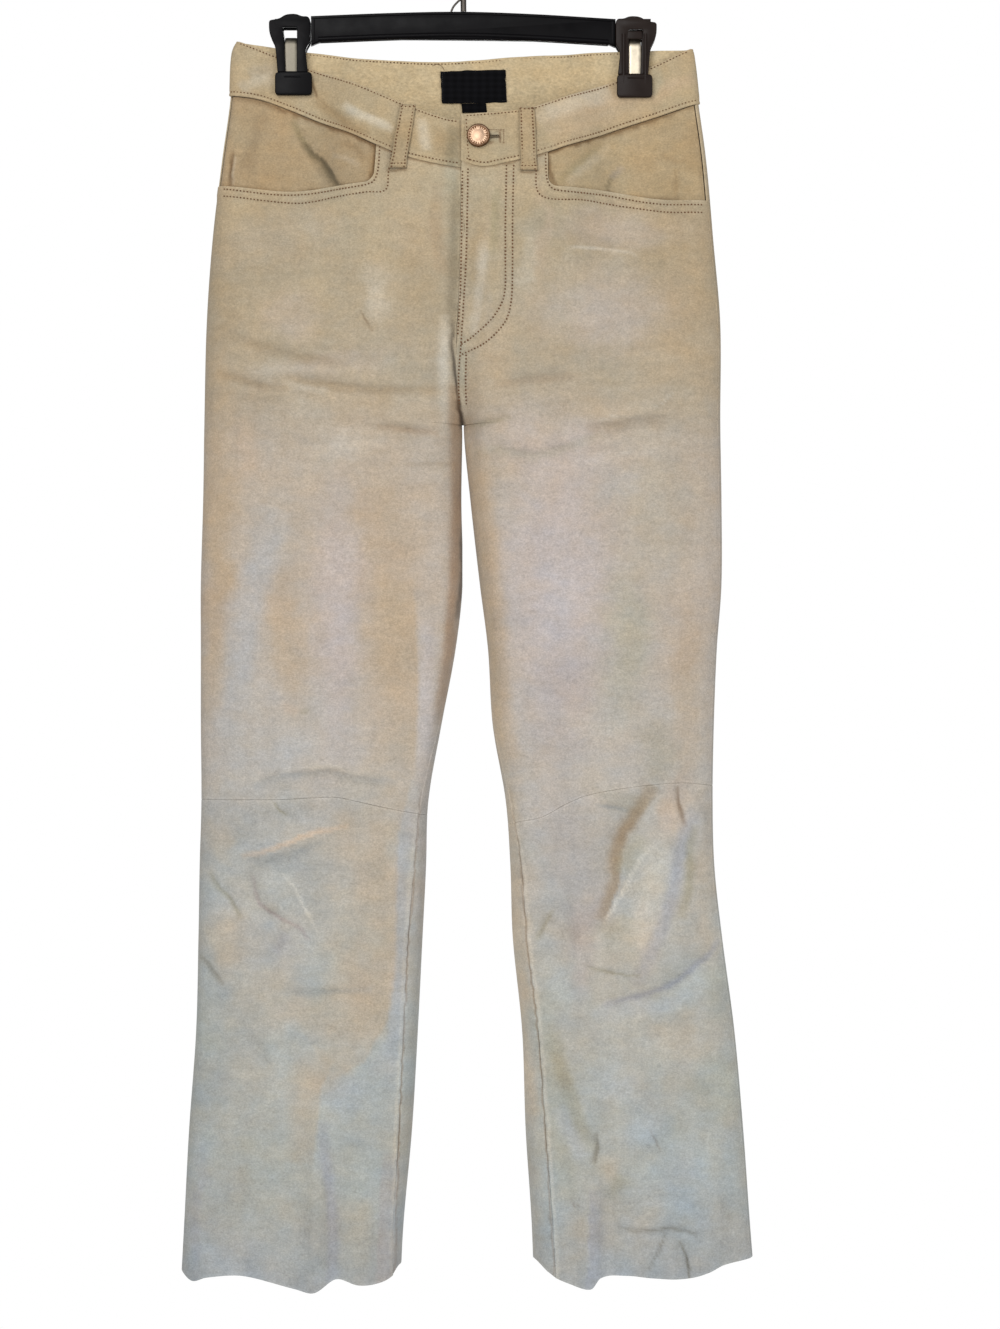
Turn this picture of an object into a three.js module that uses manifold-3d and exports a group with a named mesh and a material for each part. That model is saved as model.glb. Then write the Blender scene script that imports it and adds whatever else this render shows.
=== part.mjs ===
// Suede bootcut pants hanging from a clip hanger, as one rigid object.
// Millimetres, +Z up, -Y to the front of the pants, +X to the wearer's left.
// The origin is the inner top of the hanger's hook, where a rail would carry it.
import * as THREE from 'three';
import { mergeVertices } from 'three/addons/utils/BufferGeometryUtils.js';
import Module from 'manifold-3d';

const wasm = await Module();
wasm.setup();

// Driving sizes.
const SUEDE = 1.4; // thickness of one layer of suede
const SEAM_GAP = 0.3; // clear space between neighbouring pieces
const BAND = { thickness: 2.6, lift: 0.8, height: 42 }; // waistband, two layers of suede
const CROTCH_Z = -425;
const CROTCH_BEND = 14.4; // how wide the crotch seam turns from front to back
const LEG_GAP = 2.2; // the two inseams just below the crotch
const INSEAM_SLOPE = 2; // how steeply a leg rounds away from its inseam
const INSEAM_ROUNDING = { depth: 9, startsOver: 60 };
const EDGE_POWER = 2.4; // fullness of the fold along a side seam
const UNDER = -SUEDE - SEAM_GAP; // lift of a layer that lies under another

const CLIP = { x: 145.5, flat: 18, fade: 45, spread: 30, halfGap: 2.4, full: -165, gone: -345 };
const LOOP = { width: 14, length: 54, thickness: 2.2, clear: 0.5, bow: 1.2, stepDown: 6 };
const BUTTON = { x: 13.6, z: -183, radius: 9.5, height: 4.6, shank: 2.4, clear: 0.6 };
const BUTTONHOLE = { eye: 3.4, slot: 1.3, end: 34.5 };
const LABEL = { left: -18.7, right: 36.5, top: -121.5, bottom: -149, thickness: 1 };
const SIZE_TAG = { left: 0, right: 19.5, bottom: -158 };
const BAR = { half: 130, top: -74, endTop: -79, bottom: -98, endBottom: -96.5, depth: 9, bevel: 1.5 };
const HOOK = { wire: 2.5, innerRadius: 18, end: 200 };
const JAW = { inner: 5.1, thickness: 4.4, bevel: 0.9 };
const SPRING = { width: 9.4, thickness: 1, top: -95, bottom: -123.5, reach: 7.6 };
const ZIP = { left: -13, right: 13, top: -216, bottom: -335, thickness: 1.2, behind: 1.5 };

// Names the columns of a table, one object for each row.
function table(columns, rows) {
  return rows.map((row) => Object.fromEntries(columns.map((name, i) => [name, row[i]])));
}

// Side and inseam edges of both legs, seen from the front, with how far in from its
// leg's inner edge each inseam runs on the front.
const OUTLINE = table(
  ['z', 'rightOuter', 'rightInner', 'leftInner', 'leftOuter', 'rightInset', 'leftInset'],
  [
    [-99, -190.5, 0, 0, 192.5, 0, 0],
    [-110, -194.5, 0, 0, 194.5, 0, 0],
    [-149, -197, 0, 0, 199, 0, 0],
    [-200, -204, 0, 0, 206, 0, 0],
    [-268, -212, 0, 0, 212, 0, 0],
    [-340, -217, 0, 0, 218, 0, 0],
    [-425, -219, -1, 1, 218, 0, 0],
    [-489, -220, -2, 7, 219, 0, 0],
    [-560, -222, -1, 15, 219, 0, 0],
    [-616, -222, -7, 22, 215, 0, 0],
    [-680, -222, -19, 26, 212.5, 2, 1],
    [-744, -221.5, -30, 37, 211.5, 6, 4],
    [-800, -223, -32, 41, 213, 9, 9],
    [-860, -224, -35, 43, 219.5, 11, 11],
    [-940, -226, -39, 51, 230, 11, 13],
    [-1024, -232, -44, 54, 237.5, 10, 16],
    [-1101, -236, -51, 59, 243, 8, 17],
    [-1157, -239, -54, 61, 247.5, 5, 18],
  ],
);

// How far the front and the back stand off the middle plane.
const DEPTH = table(
  ['z', 'front', 'back'],
  [
    [-99, 15, 14],
    [-165, 21, 19],
    [-205, 25, 25],
    [-275, 31, 33],
    [-361, 36, 39],
    [-425, 36, 38],
    [-500, 34, 36],
    [-585, 32, 33],
    [-670, 29, 30],
    [-744, 28, 28],
    [-900, 28, 26],
    [-1010, 29, 27],
    [-1100, 31, 30],
    [-1157, 34, 32],
  ],
);

// Edges that run across the pants, each read at x.
const edge = (rows) => table(['x', 'z'], rows);
const EDGES = {
  right: {
    bandTop: edge([
      [-191, -99.5], [-161, -110.5], [-132, -122], [-102, -132.5], [-69, -146.5],
      [-53, -153.5], [-20, -165.5], [-6, -168.5], [26, -169],
    ]),
    bandBottom: edge([
      [-197, -146], [-171, -149.5], [-147, -158], [-125, -167], [-97, -178.5],
      [-74, -189.5], [-45, -201], [-2, -209.5], [26, -210],
    ]),
    pocket: edge([[-206, -223], [-174, -226], [-144, -228], [-108, -224.5], [-74, -221]]),
    knee: edge([[-222, -743], [-153, -742.5], [-109, -740.5], [-94, -743], [-50, -752.5], [-30, -756]]),
    hem: edge([
      [-239, -1142], [-229, -1149.5], [-217, -1146], [-192, -1143], [-175, -1145],
      [-141, -1154], [-125, -1157], [-106, -1146], [-88, -1151], [-71, -1150],
      [-60, -1145], [-54, -1137],
    ]),
  },
  left: {
    bandTop: edge([[-4, -164.3], [46, -160.3], [61, -157.3], [129, -133.5], [163, -119.5], [193, -106]]),
    bandBottom: edge([
      [-4, -203], [16, -208.7], [35, -205.7], [63, -199], [98, -187], [129, -175.5],
      [161, -165], [199, -153],
    ]),
    pocket: edge([[74, -225], [94, -226], [122, -228], [153, -233], [176, -235.5], [206, -235.5]]),
    knee: edge([
      [38, -764], [49, -761], [66, -757.5], [88, -746], [105, -739], [136, -733],
      [183, -728.5], [211, -731],
    ]),
    hem: edge([
      [61, -1132], [73, -1142], [88, -1149], [108, -1154], [116, -1145], [139, -1143],
      [159, -1145], [190, -1146], [208, -1141], [221, -1135], [247, -1131],
    ]),
  },
  back: {
    bandTop: edge([
      [-191, -99.5], [-132, -108.5], [-54, -113.3], [-20, -114.3], [14, -112.8],
      [43, -110.3], [99, -108], [128, -108], [193, -106],
    ]),
    knee: edge([[-222, -743], [-120, -748], [-30, -756], [38, -764], [120, -742], [211, -731]]),
    hem: edge([
      [-239, -1142], [-145, -1147], [-54, -1137], [0, -1134], [61, -1132], [150, -1145],
      [247, -1131],
    ]),
  },
};

// The largest folds, each a soft ridge (or trough, where the height is negative).
const FRONT = -1;
const BACK = 1;
const FOLDS = table(
  ['face', 'fromX', 'fromZ', 'toX', 'toZ', 'width', 'height'],
  [
    [FRONT, -147, -160, -106, -226, 9, -3.5],
    [FRONT, -172, -158, -190, -215, 10, -3],
    [FRONT, -120, -215, -60, -330, 26, 3],
    [FRONT, 125, -190, 60, -330, 26, 3],
    [FRONT, -14, -300, -11, -400, 14, 4],
    [FRONT, -172, -724, -80, -725, 10, 3],
    [FRONT, -184, -791, -108, -768, 13, 5],
    [FRONT, -178, -811, -162, -846, 9, -4],
    [FRONT, -150, -814, -126, -850, 9, -3.5],
    [FRONT, -212, -812, -190, -840, 9, -3.5],
    [FRONT, -222, -884, -200, -912, 10, -3],
    [FRONT, -124, -1030, -119, -1175, 10, 6],
    [FRONT, -106, -1060, -103, -1175, 8, -5],
    [FRONT, -72, -1070, -67, -1175, 9, -5],
    [FRONT, 164, -735, 120, -842, 14, -5],
    [FRONT, 158, -785, 123, -846, 10, 5],
    [FRONT, 196, -750, 150, -900, 14, -5],
    [FRONT, 214, -868, 178, -905, 11, -5],
    [FRONT, 182, -903, 122, -920, 11, -5],
    [FRONT, 200, -905, 130, -945, 14, 4],
    [FRONT, 72, -940, 112, -1040, 13, 5],
    [FRONT, 112, -1030, 108, -1175, 12, 6],
    [FRONT, 124, -1080, 121, -1175, 9, -4],
    [FRONT, 176, -1090, 194, -1175, 10, -4],
    [BACK, -150, -560, -120, -705, 18, 4],
    [BACK, 140, -570, 120, -700, 18, 4],
    [BACK, -190, -770, -90, -800, 13, 4],
    [BACK, -200, -840, -150, -870, 11, -4],
    [BACK, 100, -790, 190, -765, 13, 4],
    [BACK, 120, -850, 200, -880, 12, -4],
    [BACK, -170, -1010, -178, -1175, 13, 5],
    [BACK, -105, -1030, -98, -1175, 12, -5],
    [BACK, 110, -1030, 100, -1175, 12, -5],
    [BACK, 180, -1000, 192, -1175, 13, 5],
  ],
);

const RIGHT = { side: -1, outer: 'rightOuter', inner: 'rightInner', inset: 'rightInset' };
const LEFT = { side: 1, outer: 'leftOuter', inner: 'leftInner', inset: 'leftInset' };
RIGHT.edges = EDGES.right;
LEFT.edges = EDGES.left;

// Columns of the panels, from the side seam (0) to the centre or the inseam (1). One
// of them runs down the pocket's edge, with one each side of it.
const POCKET_COLUMN = 9;
const FRONT_COLUMNS = [
  0, 0.05, 0.11, 0.18, 0.25, 0.32, 0.4, 0.48, 0.56, 0.59, 0.63, 0.7, 0.77, 0.84, 0.9, 0.95, 1,
];
const BACK_COLUMNS = [0, 0.05, 0.11, 0.18, 0.26, 0.34, 0.42, 0.5, 0.58, 0.66, 0.74, 0.82, 0.89, 0.95, 1];
const POCKET_RADIUS = 9;
const POCKET_UNDERLAP = 14;

const { clamp, lerp, smoothstep } = THREE.MathUtils;

// Reads a column of a table smoothly at a place along its key column.
function read(rows, key, at, column) {
  const last = rows.length - 1;
  const direction = Math.sign(rows[last][key] - rows[0][key]);
  let i = 0;
  while (i < last - 1 && direction * (at - rows[i + 1][key]) > 0) i += 1;
  const slope = (j) => {
    const before = rows[Math.max(j - 1, 0)];
    const after = rows[Math.min(j + 1, last)];
    return (after[column] - before[column]) / (after[key] - before[key]);
  };
  const span = rows[i + 1][key] - rows[i][key];
  const t = clamp((at - rows[i][key]) / span, 0, 1);
  const blend = t * t * (3 - 2 * t);
  return lerp(rows[i][column], rows[i + 1][column], blend)
    + span * t * (1 - t) * (slope(i) * (1 - t) - slope(i + 1) * t);
}

// Rises straight from 0 and levels off at 1.
const fill = (u) => u / Math.cbrt(1 + u ** 3);

// The inner edge of a leg: the centre line above the crotch, its inseam side below.
function innerEdge(leg, z) {
  if (z > CROTCH_Z) return 0;
  return leg.side * Math.max(leg.side * read(OUTLINE, 'z', z, leg.inner), LEG_GAP / 2);
}

// How much of the clips' squeeze is felt here, from 0 to 1.
function squeeze(x, z) {
  const away = Math.abs(Math.abs(x) - CLIP.x);
  const down = smoothstep(CLIP.full - z, 0, CLIP.full - CLIP.gone);
  const flat = CLIP.flat * (1 - down);
  return (1 - smoothstep(away, flat, flat + CLIP.fade + CLIP.spread * down)) * (1 - down);
}

// Sum of the folds that pass a point of the front or the back.
function foldHeight(face, x, z) {
  let height = 0;
  for (const fold of FOLDS) {
    if (fold.face !== face) continue;
    const run = new THREE.Vector2(fold.toX - fold.fromX, fold.toZ - fold.fromZ);
    const offset = new THREE.Vector2(x - fold.fromX, z - fold.fromZ);
    const along = offset.dot(run) / run.lengthSq();
    if (along <= 0 || along >= 1) continue;
    const across = offset.cross(run) / run.length() / fold.width;
    height += fold.height * Math.exp(-across * across) * Math.sin(Math.PI * along) ** 0.8;
  }
  return height;
}

// A point of the pants. across runs from the side seam (0) to the centre front or back
// or the inseam (1). Past 0 or 1 it goes on round the leg, or over the centre line.
function skin(leg, face, across, z) {
  let side = leg;
  let turned = across < 0 ? -face : face;
  let u = Math.abs(across);
  if (u > 1) {
    u = 2 - u;
    if (z > CROTCH_Z) side = leg === RIGHT ? LEFT : RIGHT;
    else turned = -turned;
  }
  const outer = read(OUTLINE, 'z', z, side.outer);
  const inner = innerEdge(side, z);
  const s = (1 - Math.cos(Math.PI * u)) / 2;
  const x = lerp(outer, inner, s);
  const full = read(DEPTH, 'z', z, turned === FRONT ? 'front' : 'back');
  const edgeRounding = s < 0.5 ? (1 - (1 - 2 * s) ** EDGE_POWER) ** (1 / EDGE_POWER) : 1;
  const inward = Math.abs(x - inner);
  const { depth, startsOver } = INSEAM_ROUNDING;
  const rounding = depth * smoothstep(CROTCH_Z - z, 0, startsOver);
  const rise = z > CROTCH_Z
    ? Math.hypot(Math.sqrt(CROTCH_BEND * (z - CROTCH_Z)), INSEAM_SLOPE * x)
    : INSEAM_SLOPE * Math.sqrt(inward * inward + 2 * rounding * inward);
  const standing = edgeRounding * fill(rise / full);
  const open = standing * (full + foldHeight(turned, x, z));
  return new THREE.Vector3(x, turned * lerp(open, CLIP.halfGap * edgeRounding, squeeze(x, z)), z);
}

// The same point moved out along the cloth's normal, with that normal.
function liftedPoint(leg, face, across, z, lift) {
  const point = skin(leg, face, across, z);
  const sideways = skin(leg, face, across + 0.012, z).sub(skin(leg, face, across - 0.012, z));
  const upward = skin(leg, face, across, z + 1.5).sub(skin(leg, face, across, z - 1.5));
  const normal = sideways.cross(upward).multiplyScalar(leg.side * face).normalize();
  return { point: point.addScaledVector(normal, lift), normal };
}

// Where along a panel's width its inseam edge falls at this height.
function inseamAcross(leg, z) {
  if (z > CROTCH_Z) return 1;
  const width = Math.abs(read(OUTLINE, 'z', z, leg.outer) - innerEdge(leg, z));
  const inset = Math.max(read(OUTLINE, 'z', z, leg.inset), 0) / width;
  return Math.acos(2 * inset - 1) / Math.PI;
}

// Places a point of a panel: t is its column, level gives z at an x.
function panelPoint(leg, face, t, level, lift) {
  let across = t;
  let z = level(leg.side * 100);
  for (let pass = 0; pass < 8; pass += 1) {
    const seam = inseamAcross(leg, z);
    if (t <= 1) across = t * (face === FRONT ? seam : 2 - seam);
    z = level(skin(leg, face, across, z).x);
  }
  return liftedPoint(leg, face, across, z, typeof lift === 'function' ? lift(across, z) : lift);
}

// Pulls the rim of a grid in, so that neighbours stay clear of each other.
function trimRim(grid, kept) {
  const moves = [];
  grid.forEach((row, i) => row.forEach((corner, j) => {
    const inside = new THREE.Vector3();
    const present = (a, b) => Boolean(kept[a]?.[b]);
    const here = [present(i - 1, j - 1), present(i - 1, j), present(i, j - 1), present(i, j)];
    if (here.every(Boolean) || !here.some(Boolean)) return;
    const pull = (a, b) => {
      const other = grid[a]?.[b];
      if (other) inside.add(other.point.clone().sub(corner.point).normalize());
    };
    if (!here[0] && !here[1]) pull(i + 1, j);
    if (!here[2] && !here[3]) pull(i - 1, j);
    if (!here[0] && !here[2]) pull(i, j + 1);
    if (!here[1] && !here[3]) pull(i, j - 1);
    moves.push([corner, inside.multiplyScalar(SEAM_GAP / 2)]);
  }));
  moves.forEach(([corner, move]) => corner.point.add(move));
}

// A closed wall of one thickness on a grid of points. kept[i][j] says which of its
// cells are cloth. The rim gets side walls.
function wall(grid, thickness, kept) {
  const columns = grid[0].length;
  const outside = [];
  const inside = [];
  grid.flat().forEach(({ point, normal }) => {
    outside.push(point.clone().addScaledVector(normal, thickness / 2));
    inside.push(point.clone().addScaledVector(normal, -thickness / 2));
  });
  const [a, b, c] = [0, columns, 1].map((i) => grid.flat()[i].point);
  const facing = b.clone().sub(a).cross(c.clone().sub(a)).dot(grid[0][0].normal) > 0;
  const faces = [];
  const rim = new Map();
  const within = outside.length;
  for (let i = 0; i < grid.length - 1; i += 1) {
    for (let j = 0; j < columns - 1; j += 1) {
      if (!kept[i][j]) continue;
      const start = i * columns + j;
      let loop = [start, start + columns, start + columns + 1, start + 1];
      if (!facing) loop = loop.reverse();
      const [p, q, r, s] = loop;
      faces.push([p, q, r], [p, r, s]);
      faces.push([r + within, q + within, p + within], [s + within, r + within, p + within]);
      loop.forEach((from, k) => {
        const to = loop[(k + 1) % 4];
        if (!rim.delete(`${to},${from}`)) rim.set(`${from},${to}`, [from, to]);
      });
    }
  }
  rim.forEach(([from, to]) => {
    faces.push([to, from, from + within], [to, from + within, to + within]);
  });
  return solidFrom([...outside, ...inside], faces);
}

// A geometry of points and faces, without the points that no face uses.
function solidFrom(points, faces) {
  const used = [...new Set(faces.flat())];
  const place = new Map(used.map((old, i) => [old, i]));
  const geometry = new THREE.BufferGeometry();
  geometry.setAttribute('position', new THREE.Float32BufferAttribute(
    used.flatMap((i) => points[i].toArray()), 3));
  geometry.setIndex(faces.flat().map((i) => place.get(i)));
  geometry.computeVertexNormals();
  return geometry;
}

const pants = new THREE.Group();

const FINISH = {
  suede: new THREE.MeshStandardMaterial({ color: 0xb6a68e, roughness: 0.95, metalness: 0 }),
  suedeInside: new THREE.MeshStandardMaterial({ color: 0xbba785, roughness: 0.97, metalness: 0 }),
  label: new THREE.MeshStandardMaterial({ color: 0x17161a, roughness: 0.7, metalness: 0 }),
  copper: new THREE.MeshStandardMaterial({ color: 0xa5684c, roughness: 0.4, metalness: 1 }),
  zip: new THREE.MeshStandardMaterial({ color: 0x9a8468, roughness: 0.8, metalness: 0 }),
  plastic: new THREE.MeshStandardMaterial({ color: 0x141312, roughness: 0.5, metalness: 0 }),
  steel: new THREE.MeshStandardMaterial({ color: 0xa7a294, roughness: 0.4, metalness: 1 }),
  hookWire: new THREE.MeshStandardMaterial({ color: 0x3a3733, roughness: 0.45, metalness: 1 }),
};

function addPiece(name, geometry, material) {
  const mesh = new THREE.Mesh(geometry, material);
  mesh.name = name;
  pants.add(mesh);
}

// Cuts one panel: its columns, its levels from top to bottom and its lift.
function cutPanel({ leg, face, columns, levels, lift = 0, thickness = SUEDE, isCloth = () => true, shape }) {
  const grid = levels.map((level) => columns.map((t) => panelPoint(leg, face, t, level, lift)));
  if (shape) shape(grid);
  const kept = levels.slice(1).map((_, i) => columns.slice(1).map((__, j) => isCloth(i, j)));
  trimRim(grid, kept);
  return wall(grid, thickness, kept);
}

const flatLevel = (z) => () => z;
const edgeLevel = (rows, drop = 0) => (x) => read(rows, 'x', x, 'z') - drop;
const between = (upper, lower, t) => (x) => lerp(upper(x), lower(x), t);

// Heights that a panel's rows share between the hip and the knee. They gather at the
// crotch, where the centre seam turns between the legs.
const THIGH_LEVELS = [
  -270, -305, -340, -370, -395, -410, -419.5, -423.8, -428, -440, -463, -500, -545, -590, -635, -680,
].map(flatLevel);

function stackLevels(upper, lower, count) {
  return Array.from({ length: count }, (_, i) => between(upper, lower, (i + 1) / (count + 1)));
}

function makeLeg(leg, name) {
  const { bandBottom, pocket, knee, hem } = leg.edges;
  const waist = edgeLevel(bandBottom);
  const pocketEdge = edgeLevel(pocket);
  const cornerLevel = edgeLevel(pocket, -POCKET_RADIUS);
  const kneeSeam = edgeLevel(knee);
  const lastThigh = THIGH_LEVELS.at(-1);
  const hipLevels = [
    waist, between(waist, cornerLevel, 0.5), cornerLevel, pocketEdge, edgeLevel(pocket, POCKET_UNDERLAP),
  ];
  const pocketRow = 3;

  // Front thigh, cut away at its upper outer corner for the pocket.
  addPiece(`${name}_front_upper`, cutPanel({
    leg,
    face: FRONT,
    columns: FRONT_COLUMNS,
    levels: [...hipLevels, ...THIGH_LEVELS, ...stackLevels(lastThigh, kneeSeam, 1), kneeSeam],
    isCloth: (i, j) => i >= pocketRow || j >= POCKET_COLUMN,
    shape: (grid) => {
      const corner = grid[pocketRow][POCKET_COLUMN];
      const step = POCKET_RADIUS * (1 - Math.SQRT1_2);
      const outward = grid[pocketRow][POCKET_COLUMN - 1].point.clone().sub(corner.point);
      const upward = grid[pocketRow - 1][POCKET_COLUMN].point.clone().sub(corner.point);
      corner.point.addScaledVector(outward.normalize(), step).addScaledVector(upward.normalize(), step);
    },
  }), FINISH.suede);

  // Hip piece, which fills the pocket's opening from under the front.
  addPiece(`${name}_hip_piece`, cutPanel({
    leg,
    face: FRONT,
    columns: FRONT_COLUMNS.slice(0, POCKET_COLUMN + 2),
    levels: hipLevels,
    lift: UNDER,
  }), FINISH.suede);

  // Front shin, from the knee seam to the hem.
  const frontHem = edgeLevel(hem);
  addPiece(`${name}_front_lower`, cutPanel({
    leg,
    face: FRONT,
    columns: FRONT_COLUMNS,
    levels: [kneeSeam, ...stackLevels(kneeSeam, frontHem, 13), frontHem],
  }), FINISH.suede);

  // Back thigh and back shin.
  const backWaist = edgeLevel(EDGES.back.bandTop, BAND.height);
  const backKnee = edgeLevel(EDGES.back.knee);
  const backHem = edgeLevel(EDGES.back.hem);
  addPiece(`${name}_back_upper`, cutPanel({
    leg,
    face: BACK,
    columns: BACK_COLUMNS,
    levels: [
      backWaist, ...stackLevels(backWaist, THIGH_LEVELS[0], 3), ...THIGH_LEVELS,
      ...stackLevels(lastThigh, backKnee, 1), backKnee,
    ],
  }), FINISH.suede);
  addPiece(`${name}_back_lower`, cutPanel({
    leg,
    face: BACK,
    columns: BACK_COLUMNS,
    levels: [backKnee, ...stackLevels(backKnee, backHem, 11), backHem],
  }), FINISH.suede);
}

makeLeg(RIGHT, 'right');
makeLeg(LEFT, 'left');

// Waistband. The right end passes under the left one, stepping in by two layers.
const UNDERLAP_DROP = BAND.thickness + SEAM_GAP;
const bandLevels = (top, bottom) => [top, between(top, bottom, 0.35), between(top, bottom, 0.7), bottom];

addPiece('waistband_front_right', cutPanel({
  leg: RIGHT,
  face: FRONT,
  columns: [...FRONT_COLUMNS.slice(0, -2), 0.94, 1.02, 1.09, 1.15, 1.21],
  levels: bandLevels(edgeLevel(EDGES.right.bandTop), edgeLevel(EDGES.right.bandBottom)),
  lift: (across) => BAND.lift - UNDERLAP_DROP * smoothstep(across, 0.9, 0.939),
  thickness: BAND.thickness,
}), FINISH.suede);

// A flat plate through the band, cut to the keyhole's outline.
function buttonholeCutter() {
  const { eye, slot, end } = BUTTONHOLE;
  const turn = Math.asin(slot / eye);
  const outline = new THREE.Shape();
  outline.absarc(0, 0, eye, turn, 2 * Math.PI - turn, false);
  outline.lineTo(end - BUTTON.x, -slot);
  outline.lineTo(end - BUTTON.x, slot);
  const plate = new THREE.ExtrudeGeometry(outline, { depth: 40, bevelEnabled: false, curveSegments: 10 });
  return plate.rotateX(Math.PI / 2).translate(BUTTON.x, -5, BUTTON.z);
}

// A closed solid: corners that coincide are merged.
function closed(geometry) {
  const bare = geometry.clone();
  bare.deleteAttribute('normal');
  if (bare.hasAttribute('uv')) bare.deleteAttribute('uv');
  const merged = mergeVertices(bare, 1e-4);
  merged.computeVertexNormals();
  return merged;
}

function toManifold(geometry) {
  const solid = closed(geometry);
  return new wasm.Manifold(new wasm.Mesh({
    numProp: 3,
    vertProperties: solid.attributes.position.array,
    triVerts: Uint32Array.from(solid.index.array),
  }));
}

function cutAway(body, cutter) {
  const mesh = toManifold(body).subtract(toManifold(cutter)).getMesh();
  const geometry = new THREE.BufferGeometry();
  geometry.setAttribute('position', new THREE.BufferAttribute(mesh.vertProperties, 3));
  geometry.setIndex(new THREE.BufferAttribute(mesh.triVerts, 1));
  geometry.computeVertexNormals();
  return geometry;
}

const leftBand = cutPanel({
  leg: LEFT,
  face: FRONT,
  columns: [...FRONT_COLUMNS, 1.06],
  levels: bandLevels(edgeLevel(EDGES.left.bandTop), edgeLevel(EDGES.left.bandBottom)),
  lift: BAND.lift,
  thickness: BAND.thickness,
});
addPiece('waistband_front_left', cutAway(leftBand, buttonholeCutter()), FINISH.suede);

const backTop = edgeLevel(EDGES.back.bandTop);
const backBottom = edgeLevel(EDGES.back.bandTop, BAND.height);
[[RIGHT, 'right'], [LEFT, 'left']].forEach(([leg, name]) => {
  addPiece(`waistband_back_${name}`, cutPanel({
    leg,
    face: BACK,
    columns: BACK_COLUMNS,
    levels: bandLevels(backTop, backBottom),
    lift: BAND.lift,
    thickness: BAND.thickness,
  }), FINISH.suede);
});

// Facing inside the back waistband: the rough side that shows above the front.
const FACING = { thickness: 1.1 };
FACING.lift = BAND.lift - BAND.thickness / 2 - SEAM_GAP - FACING.thickness / 2;
const FACING_COLUMNS = BACK_COLUMNS.slice(1);
addPiece('waistband_back_facing', cutPanel({
  leg: RIGHT,
  face: BACK,
  columns: [...FACING_COLUMNS, ...FACING_COLUMNS.slice(0, -1).reverse().map((t) => 2 - t)],
  levels: bandLevels(backTop, backBottom),
  lift: FACING.lift,
  thickness: FACING.thickness,
}), FINISH.suedeInside);

// A point lying on the cloth at a given x and z.
function onCloth(face, x, z, lift) {
  const leg = x < 0 ? RIGHT : LEFT;
  const outer = read(OUTLINE, 'z', z, leg.outer);
  const s = (x - outer) / (innerEdge(leg, z) - outer);
  return liftedPoint(leg, face, Math.acos(1 - 2 * s) / Math.PI, z, lift);
}

// A patch on the cloth from a grid of places, each [x, z, lift].
function patch(face, places, thickness) {
  const grid = places.map((row) => row.map(([x, z, lift]) => onCloth(face, x, z, lift)));
  return wall(grid, thickness, grid.slice(1).map((row) => row.slice(1).map(() => true)));
}

// Belt loops: a folded strip, stitched to the band's top and to the panel below it.
const bandFace = BAND.lift + BAND.thickness / 2;
const LOOP_STEPS = 7;
function beltLoop(face, topX, topZ, lean, onBand) {
  const clear = LOOP.clear + LOOP.thickness / 2;
  const places = Array.from({ length: LOOP_STEPS + 1 }, (_, i) => {
    const t = i / LOOP_STEPS;
    const middle = topX + lean * t;
    const z = topZ - LOOP.length * t;
    const below = smoothstep(t * LOOP.length, onBand, onBand + LOOP.stepDown);
    const bow = LOOP.bow * Math.sin(Math.PI * clamp((t * LOOP.length) / onBand, 0, 1));
    const lift = lerp(bandFace + clear + bow, SUEDE / 2 + clear, below);
    return [middle - LOOP.width / 2, middle, middle + LOOP.width / 2].map((x) => [x, z, lift]);
  });
  return patch(face, places, LOOP.thickness);
}

const LOOPS = table(
  ['name', 'face', 'x', 'z', 'lean', 'onBand'],
  [
    ['belt_loop_front_right', FRONT, -46, -156.5, -9, 44],
    ['belt_loop_front_left', FRONT, 54, -158.5, 2, 43],
    ['belt_loop_back_right', BACK, -96, -113, 0, 44],
    ['belt_loop_back_centre', BACK, 0, -116.5, 0, 44],
    ['belt_loop_back_left', BACK, 96, -111, 0, 44],
  ],
);
LOOPS.forEach(({ name, face, x, z, lean, onBand }) => {
  addPiece(name, beltLoop(face, x, z, lean, onBand), FINISH.suede);
});

// Label and size tag on the facing, both bare.
function tagPlaces({ left, right, top, bottom }, columns, rows, lift) {
  return Array.from({ length: rows + 1 }, (_, i) => Array.from({ length: columns + 1 }, (__, j) => [
    lerp(left, right, j / columns), lerp(top, bottom, i / rows), lift,
  ]));
}
const tagLift = FACING.lift - FACING.thickness / 2 - 0.4 - LABEL.thickness / 2;
const tagTop = LABEL.bottom - SEAM_GAP;
addPiece('label', patch(BACK, tagPlaces(LABEL, 6, 2, tagLift), LABEL.thickness), FINISH.label);
addPiece('size_tag', patch(BACK, tagPlaces({ ...SIZE_TAG, top: tagTop }, 2, 1, tagLift), LABEL.thickness),
  FINISH.label);

// Zip tape behind the fly, closed.
const zipLift = -SUEDE / 2 - ZIP.behind - ZIP.thickness / 2;
addPiece('fly_zip', patch(FRONT, tagPlaces(ZIP, 4, 6, zipLift), ZIP.thickness), FINISH.zip);

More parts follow.
